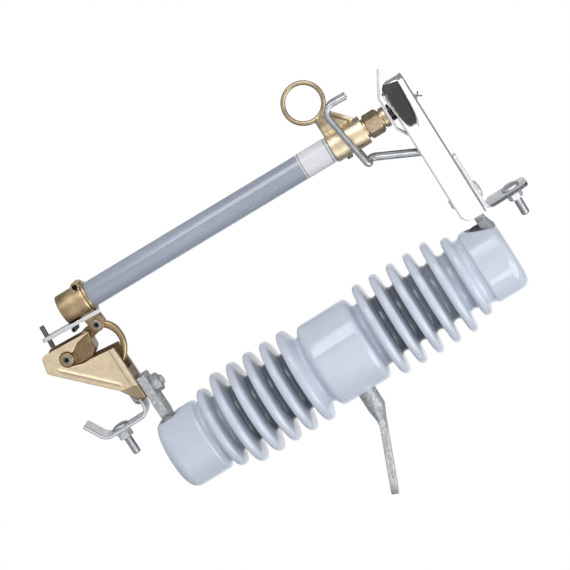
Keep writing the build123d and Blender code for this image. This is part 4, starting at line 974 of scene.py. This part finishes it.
class CUTOUT_OT_hood(bpy.types.Operator):
    """Presses the contact hood from one bright sheet with a rounded nose"""

    bl_idname = "cutout.hood"
    bl_label = "Contact hood"

    def execute(self, context):
        bend = context.scene.cutout_sizes.hood_bend
        back, front, half, low, top, nose = 45.0, 195.0, 18.5, 163.0, HOOD_TOP_U, 10.0
        corner, hem_r, press, thickness = 9.0, 2.0, 2.4, 2.5
        plan = [(back, -half), (front, -half), (front, half), (back, half)]
        plan = fill_runs(round_corners(plan, [0, 13.0, 13.0, 0], steps=16), 1.0)
        f, y = plan[:, :1], plan[:, 1:]
        foot = low + corner - np.sqrt(corner ** 2 - np.clip(back + corner - f, 0, corner) ** 2)
        curl = np.clip(f - (front - nose), 0, nose)
        foot = foot + nose - np.sqrt(nose ** 2 - curl ** 2)
        wall = np.linspace(0, 1, 48)[None, :] ** 1.2
        bow = np.linspace(0, np.pi / 2, 7)[None, 1:]
        over = np.linspace(0, 1, 8)[None, 1:]
        rise, level = wall * (top - bend - foot), 0 * f
        height = [foot + rise, top - bend + bend * np.sin(bow) + level, top + 0 * over + level]
        hem = np.clip(hem_r - rise, 0, hem_r)
        draw = [hem_r - np.sqrt(hem_r ** 2 - hem ** 2), bend * (1 - np.cos(bow)) + level]
        draw.append(bend + over * (half - bend) + level)
        height, draw = np.concatenate(height, 1), np.concatenate(draw, 1)
        share = draw / half
        middle_f = np.minimum(f, front - half)
        across = (1 - share) * y
        along = (1 - share) * f + share * middle_f
        sunk = self.pocket(along, height) * (height < top - bend)
        across = across - np.sign(y) * press * sunk * smooth_step(np.abs(y), half - 6.0, half)
        points = np.stack([-along, across, height], -1)
        shell = grid_shell(points, wrap_columns=False, capped=False)
        made = piece("bright_hood", [shell], BASE, "polished_stainless", ["contact_hood"], 40.0)
        # Painted dark reflection: over the whole pressed pocket and as a line along the top bend.
        bend_dark_reflection = np.concatenate([0 * wall, np.sin(2 * bow) ** 0.5, 0 * over], 1)
        mark(made, "pocket", np.maximum(sunk, 0.62 * bend_dark_reflection))
        merge_points(made.data, face_out=True)
        sheet = made.modifiers.new("sheet", "SOLIDIFY")
        sheet.thickness, sheet.offset = thickness * MM, -1.0
        return {"FINISHED"}

    @staticmethod
    def pocket(f, u):
        """The share of the pocket that is pressed into each side: fuller and squared towards the nose, round
        at its back end, where it eases in slowly."""
        middle_u, square = 172.3, 2.6
        across = np.abs(u - middle_u) / (7.2 + 0.055 * (f - 157.0))
        along = np.maximum(165.0 - f, 0) / 22.5
        reach = (across ** square + along ** square) ** (1 / square)
        start = 0.9 - 0.36 * along / (along + across + 1e-6)
        nose = 1 - smooth_step(f + 0.25 * (u - middle_u), 191.2, 193.0)
        return nose * (1 - smooth_step((reach - start) / (1 - start), 0.0, 1.0))


class CUTOUT_OT_contact(bpy.types.Operator):
    """Bends the contact leaf and winds the spring on its guide pin"""

    bl_idname = "cutout.contact"
    bl_label = "Leaf and spring"

    def execute(self, context):
        route = ((183.6, 52.0), (183.6, 108.0), (157.5, 152.0), (157.5, 184.0), (171.4, 207.7))
        path = fill_runs(round_corners([spot(u, f) for u, f in route], 5.0, steps=8), 2.0)
        leaf = carried(flat_section(24.0, 2.0, 0.5), path)
        made = piece("spring_leaf", [leaf], BASE, "polished_stainless", ["contact_leaf"])
        refinish(made, finish_of("zinc_plated_steel"))
        seat = spot(0.0, SPRING_F)
        wire = coil(seat, UP, BACK, 7.2, 1.3, LEAF_CONTACT_U + 2.0, HOOD_INNER_TOP_U, 6.5)
        piece("pressure_coil", [wire], BASE, "spring_steel", ["contact_spring"], 60.0)
        rows = [(156.8, 0.5), (156.8, 2.2), (157.2, 2.5), (HOOD_TOP_U, 2.5), (HOOD_TOP_U, 3.1), (187.6, 3.1)]
        rows += [(187.6, 2.2), (188.4, 2.0), (188.6, 0.5)]
        pin = turned(rows, seat, UP, BACK, 40)
        prong = [spot(187.4, SPRING_F - 1.2), spot(190.2, SPRING_F + 0.8), spot(191.6, SPRING_F + 3.4)]
        other = [spot(187.4, SPRING_F + 1.2), spot(190.2, SPRING_F - 0.8), spot(193.2, SPRING_F - 2.6)]
        prongs = [carried(circle(0.7, 12), round_corners(line, 2.0)) for line in (prong, other)]
        made = piece("guide_pin", [pin] + prongs, BASE, "polished_stainless", ["spring_guide_pin"])
        refinish(made, finish_of("spring_steel"))
        return {"FINISHED"}


class CUTOUT_OT_hooks(bpy.types.Operator):
    """Bends the rod that forms the two load-break hooks"""

    bl_idname = "cutout.hooks"
    bl_label = "Load-break hooks"

    def execute(self, context):
        rod = context.scene.cutout_sizes.hook_d
        inner, outer = 12.8, 22.0
        half = [
            (175.0, 116.8, inner), (122.2, 143.0, inner), (118.2, 137.0, outer), (108.0, 205.0, outer),
            (133.5, 203.5, outer),
        ]
        near = [spot(u, f, -y) for u, f, y in reversed(half)]
        far = [spot(u, f, y) for u, f, y in half]
        radii = [0.0, 9.0, 5.8, 5.8, 5.8]
        path = fill_runs(round_corners(near + far, radii + radii[::-1], steps=8), 1.5)
        never_along = np.array([0.3, 0.25, 0.92])
        rods = carried(circle(rod / 2), path, across=never_along)
        made = piece("hook_rods", [rods], BASE, "zinc_plated_steel", ["hook_rod"])
        refinish(made, finish_of("dull_steel"))
        return {"FINISHED"}


class CUTOUT_OT_bolts(bpy.types.Operator):
    """Turns the bolts and nuts that clamp the hinge and the hood to their bars"""

    bl_idname = "cutout.bolts"
    bl_label = "Clamp bolts"

    def execute(self, context):
        hinge = spot(0.0, HINGE_BOLT_F)
        nut = hexagon_nut(hinge + BAR_TOP_U * UP, UP, BACK, 16.0, 8.0, 4.95)
        piece("hinge_clamp_nut", [nut], BASE, "galvanised_steel", ["hinge_nut"])
        angle = np.linspace(0, np.pi / 2, 9)
        hexagon = [(-5.5, 0.5), (-5.5, 7.5), (-4.4, 9.3), (0, 9.3), (0, 5.0)]
        dome = [(-0.5 - 2.9 * np.sin(a), 8.5 * np.cos(a) + 0.01) for a in angle[::-1]] + [(0, 8.3), (0, 5.0)]
        places = hinge, -185.5, -1, BAR_TOP_U + 11.0
        self.bolt("hinge_clamp_bolt", *places, hexagon, "galvanised_steel", "hinge_bolt", 16.0)
        hood = spot(0.0, HOOD_BOLT_F)
        nut = hexagon_nut(hood + 173.6 * UP, -UP, BACK, 16.0, 8.0, 4.95)
        piece("hood_clamp_nut", [nut], BASE, "zinc_plated_steel", ["hood_nut"])
        places = hood, 190.6, 1, 161.4
        self.bolt("hood_clamp_bolt", *places, dome, "zinc_plated_steel", "hood_bolt", 0.0)
        return {"FINISHED"}

    @staticmethod
    def bolt(name, origin, head_u, way, tail_u, head, slot, node, flats):
        """A bolt under its head, held inside a hexagon where it has flats, its thread a sawtooth of height and
        angle on the outer half."""
        run, pitch = abs(tail_u - head_u), 1.5
        shank = np.linspace(run * 0.45, run - 1.2, int(run * 0.55 / pitch * 8))
        rows = head + [(h, 5.0, 1) for h in shank] + [(run, 3.9), (run, 0.5)]
        bolt = turned(rows, origin + head_u * UP, -way * UP, BACK, 60, flats=flats, thread=0.7, pitch=pitch)
        piece(name, [bolt], BASE, slot, [node])


class CUTOUT_OT_pivots(bpy.types.Operator):
    """Turns the socket screws of the trunnion, the toggle and the ferrules"""

    bl_idname = "cutout.pivots"
    bl_label = "Pivot screws"
    SIDES = 48

    def execute(self, context):
        pivot, toggle = spot(PIVOT_U, PIVOT_F), spot(-179.4, 147.6)
        # Painted shade by row of each head: round its side, in the step of its face and in its socket.
        painted_shade_rows = [0.5, 0.5, 0.3, 0, 0, 0, 0.4, 0.2, 0.5, 1, 1]
        heads_painted_shade = np.tile(np.repeat(painted_shade_rows, self.SIDES), 2)
        heads = [self.head(pivot, way, 20.1, 4.6) for way in (-1, 1)]
        self.screws("pivot_screws", heads, "trunnion_screws", heads_painted_shade)
        shaft = turned([(-8.9, 0.5), (-8.9, 3.0), (8.9, 3.0), (8.9, 0.5)], toggle, ACROSS, UP, 32)
        heads = [self.head(toggle, way, 8.9, 4.6) for way in (-1, 1)]
        shaft_painted_shade = np.zeros(len(shaft[0]))
        self.screws("toggle_screw", [shaft] + heads, "toggle_pin", np.concatenate([shaft_painted_shade, heads_painted_shade]))
        boss_f = TUBE_F + 177.0 * np.sin(TUBE_LEAN) + 14.0
        clamp = [self.head(spot(-177.0, boss_f), way, 10.5, 2.5, 0.7) for way in (-1, 1)]
        self.screws("clamp_screw", clamp, "lower_ferrule_screw", np.ones(sum(len(head[0]) for head in clamp)))
        back_f = TUBE_F - 107.0 * np.sin(TUBE_LEAN) - 14.3
        rows = [(-1.4, 0.5), (-1.4, 2.9), (1.6, 2.9), (2.0, 2.6), (2.0, 1.6, 2), (0.6, 1.6, 2), (0.6, 0.2)]
        grub = turned(rows, spot(107.0, back_f), BACK, UP, 36)
        piece("grub_screw", [grub], HOLDER, "spring_steel", ["upper_ferrule_screw"])
        return {"FINISHED"}

    @staticmethod
    def screws(name, shells, node, skin):
        """Screws of browned steel, dark where they are marked; on the pivot and toggle heads this is painted
        shade.
        """
        made = piece(name, shells, HOLDER, "spring_steel", [node])
        refinish(made, finish_of("screw_steel"))
        mark(made, "skin", skin)

    @classmethod
    def head(cls, origin, way, offset, radius, socket=2.1):
        """A screw head with a rounded edge, a turned step in its face and a hexagonal socket."""
        rows = [(0, 0.5), (0, radius), (1.2, radius), (1.6, radius - 0.2), (1.8, radius - 0.6)]
        rows += [(1.8, radius - 1.1), (1.4, radius - 1.4), (1.5, socket + 0.3), (1.5, socket, 2)]
        rows += [(0.25, socket, 2), (0.2, 0.2)]
        return turned(rows, origin + way * offset * ACROSS, way * ACROSS, UP, cls.SIDES)


class CUTOUT_OT_ejector(bpy.types.Operator):
    """Cuts the forked link ejector, whose far tine is the shorter one, and winds its torsion coil"""

    bl_idname = "cutout.ejector"
    bl_label = "Link ejector"
    PIN = spot(-179.0, 158.2)
    TILT = np.radians(3.4)

    def execute(self, context):
        low, high, far, fork, half, slot = -231.5, -168.5, -173.5, -203.5, 12.0, 9.2
        outline = [(low, -half), (fork + 2, -half), (high, -half), (high, -slot), (fork, -slot), (fork, slot),
                   (far, slot), (far, half), (fork + 2, half), (low, half)]
        outline = round_corners(outline, [3.0, 0, 1.2, 1.2, 2.0, 2.0, 1.2, 1.2, 0, 3.0], closed=True, steps=5)
        flat = plate(outline, 156.4, 160.0, 0.5, 0 * UP, UP, ACROSS)
        piece("ejector_flat", [self.tilted(flat)], HOLDER, "zinc_plated_steel", ["link_ejector"])
        rows = [(148.0, 0.3), (148.0, 2.1), (148.3, 2.4), (170.7, 2.4), (171.0, 2.1), (171.0, 0.3)]
        finger = turned(rows, spot(-227.8, 0.0), -BACK, UP, 28)
        piece("ejector_stud", [self.tilted(finger)], HOLDER, "spring_steel", ["ejector_finger"])
        rows = [(-11.8, 0.2), (-11.8, 1.0), (11.8, 1.0), (11.8, 0.2)]
        pin = turned(rows, self.PIN, ACROSS, UP, 20)
        piece("ejector_axle", [pin], HOLDER, "zinc_plated_steel", ["ejector_pin"])
        wire = coil(spot(-200.0, 153.8), ACROSS, UP, 1.9, 0.6, -10.2, 10.2, 15.0, 0.02, 10)
        piece("ejector_coil", [self.tilted(wire)], HOLDER, "spring_steel", ["ejector_spring"], 60.0)
        return {"FINISHED"}

    @classmethod
    def tilted(cls, shell):
        """A shell turned about the ejector's pin, so that its lower end stands forward."""
        points, quads, caps = shell
        cos, sin = np.cos(cls.TILT), np.sin(cls.TILT)
        turn = np.array([[cos, 0, sin], [0, 1, 0], [-sin, 0, cos]])
        return (points - cls.PIN) @ turn.T + cls.PIN, quads, caps


class CUTOUT_OT_tube(bpy.types.Operator):
    """Turns the painted fuse tube and wraps the bare plate on it"""

    bl_idname = "cutout.tube"
    bl_label = "Fuse tube"

    def execute(self, context):
        sizes = context.scene.cutout_sizes
        r, bore, low, high = sizes.tube_d / 2, 8.0, -199.5, 127.7
        rows = [(low, bore), (low, r - 0.6), (low + 0.6, r), (high - 0.6, r), (high, r - 0.6), (high, bore)]
        rows = fill_runs(np.array(rows), 6.0)
        origin = spot(0.0, TUBE_F)
        tube = turned(rows, origin, TUBE_UP, TUBE_SIDE, 96, wrap=True)
        piece("painted_tube", [tube], HOLDER, "tube_paint", ["fuse_tube"])
        self.label(context, origin, r, LABEL_TOP_W - sizes.label_length, LABEL_TOP_W)
        return {"FINISHED"}

    @staticmethod
    def label(context, origin, r, low, high):
        """A thin plate wrapped on the tube: height along the axis by angle round it, on two radii."""
        angle = np.radians(np.linspace(-178.0, -18.0, 41))[None, :, None]
        height = np.linspace(low, high, 11)[:, None, None]
        other = np.cross(TUBE_UP, TUBE_SIDE)
        ring = np.cos(angle) * TUBE_SIDE + np.sin(angle) * other
        sheets = [origin + height * TUBE_UP + radius * ring for radius in (r + 0.02, r + 0.22)]
        skin = np.concatenate([sheets[0], sheets[1][:, ::-1]], axis=1)
        made = piece("bare_label", [grid_shell(skin)], HOLDER, "tube_paint", sharp=30.0)
        colours = context.scene.cutout_colours
        refinish(made, label_finish("finish_label", colours.label, colours.label_line))
        columns = skin.shape[1]
        share = np.concatenate([np.linspace(0, 1, columns // 2), np.linspace(1, 0, columns // 2)])
        u, v = np.meshgrid(share, np.linspace(0, 1, skin.shape[0]))
        corner = np.empty(len(made.data.loops), dtype=np.int32)
        made.data.loops.foreach_get("vertex_index", corner)
        layer = made.data.uv_layers.new(name="plate")
        layer.data.foreach_set("uv", np.stack([u.ravel(), v.ravel()], -1)[corner].ravel())


class CUTOUT_OT_cap(bpy.types.Operator):
    """Turns the hexagonal contact cap"""

    bl_idname = "cutout.cap"
    bl_label = "Contact cap"

    def execute(self, context):
        rows = (
            (-4.0, 0.5), (-4.0, 6.4), (0.0, 6.4), (0.0, 9.6), (2.0, 9.6), (2.2, 10.2), (3.4, 12.2),
            (15.2, 12.2), (17.5, 10.2), (17.5, 8.6), (19.3, 8.6), (19.3, 9.6), (19.8, 10.0), (23.3, 10.0),
            (23.9, 9.4), (23.9, 0.5),
        )
        rows = fill_runs(np.array([(FERRULE_TOP_W + rise, radius) for rise, radius in rows]), 1.0)
        cap = turned(rows, spot(0.0, TUBE_F), TUBE_UP, TUBE_SIDE, 72, flats=21.0)
        made = piece("hex_cap", [cap], HOLDER, "golden_brass", ["ferrule_cap"])
        mark(made, "skin", np.full(len(made.data.vertices), 0.48))
        return {"FINISHED"}


class CUTOUT_OT_stage(bpy.types.Operator):
    """Sets the floor, the soft lights, the white surroundings and the camera"""

    bl_idname = "cutout.stage"
    bl_label = "Studio"

    def execute(self, context):
        scene = context.scene
        studio = scene.cutout_studio
        low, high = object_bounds()
        centre = (low + high) / 2
        self.floor(low.z - studio.floor_drop, centre)
        view = self.camera(scene, studio)
        right, up, back = (view.col[k].to_3d() for k in range(3))
        self.surroundings(scene, studio, back)
        along_part = 0.866 * right + 0.5 * up
        for name, way, along, reach, width, height, power in (
            ("left_box", (-0.70, 0.40, 0.58), up, 1.7, 1.5, 1.5, studio.key),
            ("right_box", (0.80, -0.40, 0.50), up, 1.7, 1.5, 1.5, studio.fill),
            ("strip", (-0.35, 0.60, 0.72), along_part, 1.6, 3.0, 1.0, studio.strip),
        ):
            way = way[0] * right + way[1] * up + way[2] * back
            self.soft_light(name, centre, way, along, reach, width, height, power)
        scene.view_settings.view_transform = "Standard"
        return {"FINISHED"}

    @staticmethod
    def floor(level, centre):
        """A wide pale floor: the light that it throws back holds the object's shadow, and it is white to the
        camera."""
        reach = 3.0
        mesh = bpy.data.meshes.new("pale_floor")
        signs = (-1, -1), (1, -1), (1, 1), (-1, 1)
        corners = [(centre.x + x * reach, centre.y + y * reach, level) for x, y in signs]
        mesh.from_pydata(corners, [], [(0, 1, 2, 3)])
        floor = bpy.data.objects.new("pale_floor", mesh)
        bpy.context.scene.collection.objects.link(floor)
        material = bpy.data.materials.new("pale_floor")
        tree = empty_tree(material)
        output = tree.nodes.new("ShaderNodeOutputMaterial")
        pale = add(tree, "ShaderNodeBsdfDiffuse", Color=(0.85, 0.85, 0.86, 1))
        white = add(tree, "ShaderNodeEmission", Color=(1, 1, 1, 1), Strength=1.0)
        ray = tree.nodes.new("ShaderNodeLightPath").outputs
        seen = mix_shaders(tree, ray["Is Camera Ray"], pale, white)
        tree.links.new(seen.outputs[0], output.inputs["Surface"])
        mesh.materials.append(material)
        floor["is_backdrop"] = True

    @staticmethod
    def surroundings(scene, studio, front):
        """White to the camera, a plain grey light on the object, and in reflections a studio that is white in
        front and straight behind and falls to grey at its sides, by the cosine to the front."""
        world = bpy.data.worlds.new("studio_white")
        scene.world = world
        tree = empty_tree(world)
        output = tree.nodes.new("ShaderNodeOutputWorld")
        cosine = add(tree, "ShaderNodeVectorMath")
        cosine.operation = "DOT_PRODUCT"
        tree.links.new(tree.nodes.new("ShaderNodeTexCoord").outputs["Generated"], cosine.inputs[0])
        cosine.inputs[1].default_value = front
        ramp = add(tree, "ShaderNodeValToRGB", Fac=spread(tree, cosine.outputs["Value"], -1.0, 1.0, 0.0, 1.0))
        stops = ((0.0, 1.0), (0.09, 1.0), (0.15, 0.25), (0.45, 0.1), (0.62, 0.42), (0.8, 1.0), (1.0, 1.25))
        for place, _ in stops[2:]:
            ramp.color_ramp.elements.new(place)
        for stop, (place, level) in zip(ramp.color_ramp.elements, stops):
            stop.position, stop.color = place, (level, level, level, 1)
        white = add(tree, "ShaderNodeBackground", Color=(1, 1, 1, 1), Strength=1.0)
        graded = add(tree, "ShaderNodeBackground", Color=ramp.outputs["Color"], Strength=1.0)
        soft = add(tree, "ShaderNodeBackground", Color=(0.95, 0.97, 1.0, 1), Strength=studio.ambient)
        ray = tree.nodes.new("ShaderNodeLightPath").outputs
        lit = mix_shaders(tree, ray["Is Glossy Ray"], soft, graded)
        seen = calc(tree, "MAXIMUM", ray["Is Camera Ray"], ray["Is Transmission Ray"])
        tree.links.new(mix_shaders(tree, seen, lit, white).outputs[0], output.inputs["Surface"])

    @staticmethod
    def camera(scene, studio):
        """A camera that looks at the aim from its azimuth and elevation, rolled about its own axis."""
        azimuth, elevation, roll = np.radians([studio.azimuth, studio.elevation, studio.roll])
        back = Vector((
            np.sin(azimuth) * np.cos(elevation), -np.cos(azimuth) * np.cos(elevation), np.sin(elevation),
        ))
        level = Vector((0, 0, 1)).cross(back).normalized()
        upright = back.cross(level)
        right = np.cos(roll) * level + np.sin(roll) * upright
        up = np.cos(roll) * upright - np.sin(roll) * level
        data = bpy.data.cameras.new("camera")
        data.lens, data.sensor_width = studio.lens, 36.0
        camera = bpy.data.objects.new("camera", data)
        scene.collection.objects.link(camera)
        turn = Matrix((right, up, back)).transposed()
        camera.matrix_world = Matrix.Translation(AIM + back * studio.reach) @ turn.to_4x4()
        scene.camera = camera
        return turn.to_4x4()

    @staticmethod
    def soft_light(name, centre, way, along, reach, width, height, power):
        """A rectangular lamp that faces the object, its width along a given direction."""
        data = bpy.data.lights.new(name, "AREA")
        data.shape, data.size, data.size_y, data.energy = "RECTANGLE", width, height, power
        lamp = bpy.data.objects.new(name, data)
        bpy.context.scene.collection.objects.link(lamp)
        way = way.normalized()
        along = (along - along.dot(way) * way).normalized()
        turn = Matrix((along, way.cross(along), way)).transposed()
        lamp.matrix_world = Matrix.Translation(centre + way * reach) @ turn.to_4x4()


class CUTOUT_PT_panel(bpy.types.Panel):
    """Lists the builders of the cutout's pieces"""

    bl_idname = "CUTOUT_PT_panel"
    bl_label = "Fuse Cutout"
    bl_space_type = "VIEW_3D"
    bl_region_type = "UI"
    bl_category = "Cutout"

    def draw(self, context):
        layout = self.layout
        for group in ("cutout_sizes", "cutout_colours", "cutout_studio"):
            box = layout.box()
            settings = getattr(context.scene, group)
            for key in settings.__annotations__:
                box.prop(settings, key)
        for builder in BUILDERS:
            layout.operator(builder.bl_idname)


GROUPS = (CutoutSizes, CutoutColours, CutoutStudio)
BUILDERS = (
    CUTOUT_OT_insulator, CUTOUT_OT_sockets, CUTOUT_OT_forgings, CUTOUT_OT_castings, CUTOUT_OT_terminals,
    CUTOUT_OT_hood, CUTOUT_OT_contact, CUTOUT_OT_hooks, CUTOUT_OT_bolts, CUTOUT_OT_pivots, CUTOUT_OT_ejector,
    CUTOUT_OT_tube, CUTOUT_OT_cap, CUTOUT_OT_stage,
)


def register():
    for group in GROUPS + BUILDERS + (CUTOUT_PT_panel,):
        bpy.utils.register_class(group)
    bpy.types.Scene.cutout_sizes = PointerProperty(type=CutoutSizes)
    bpy.types.Scene.cutout_colours = PointerProperty(type=CutoutColours)
    bpy.types.Scene.cutout_studio = PointerProperty(type=CutoutStudio)


def unregister():
    del bpy.types.Scene.cutout_studio
    del bpy.types.Scene.cutout_colours
    del bpy.types.Scene.cutout_sizes
    for group in reversed(GROUPS + BUILDERS + (CUTOUT_PT_panel,)):
        bpy.utils.unregister_class(group)


def main():
    register()
    for builder in BUILDERS:
        group, action = builder.bl_idname.split(".")
        getattr(getattr(bpy.ops, group), action)()


if __name__ == "__main__":
    main()
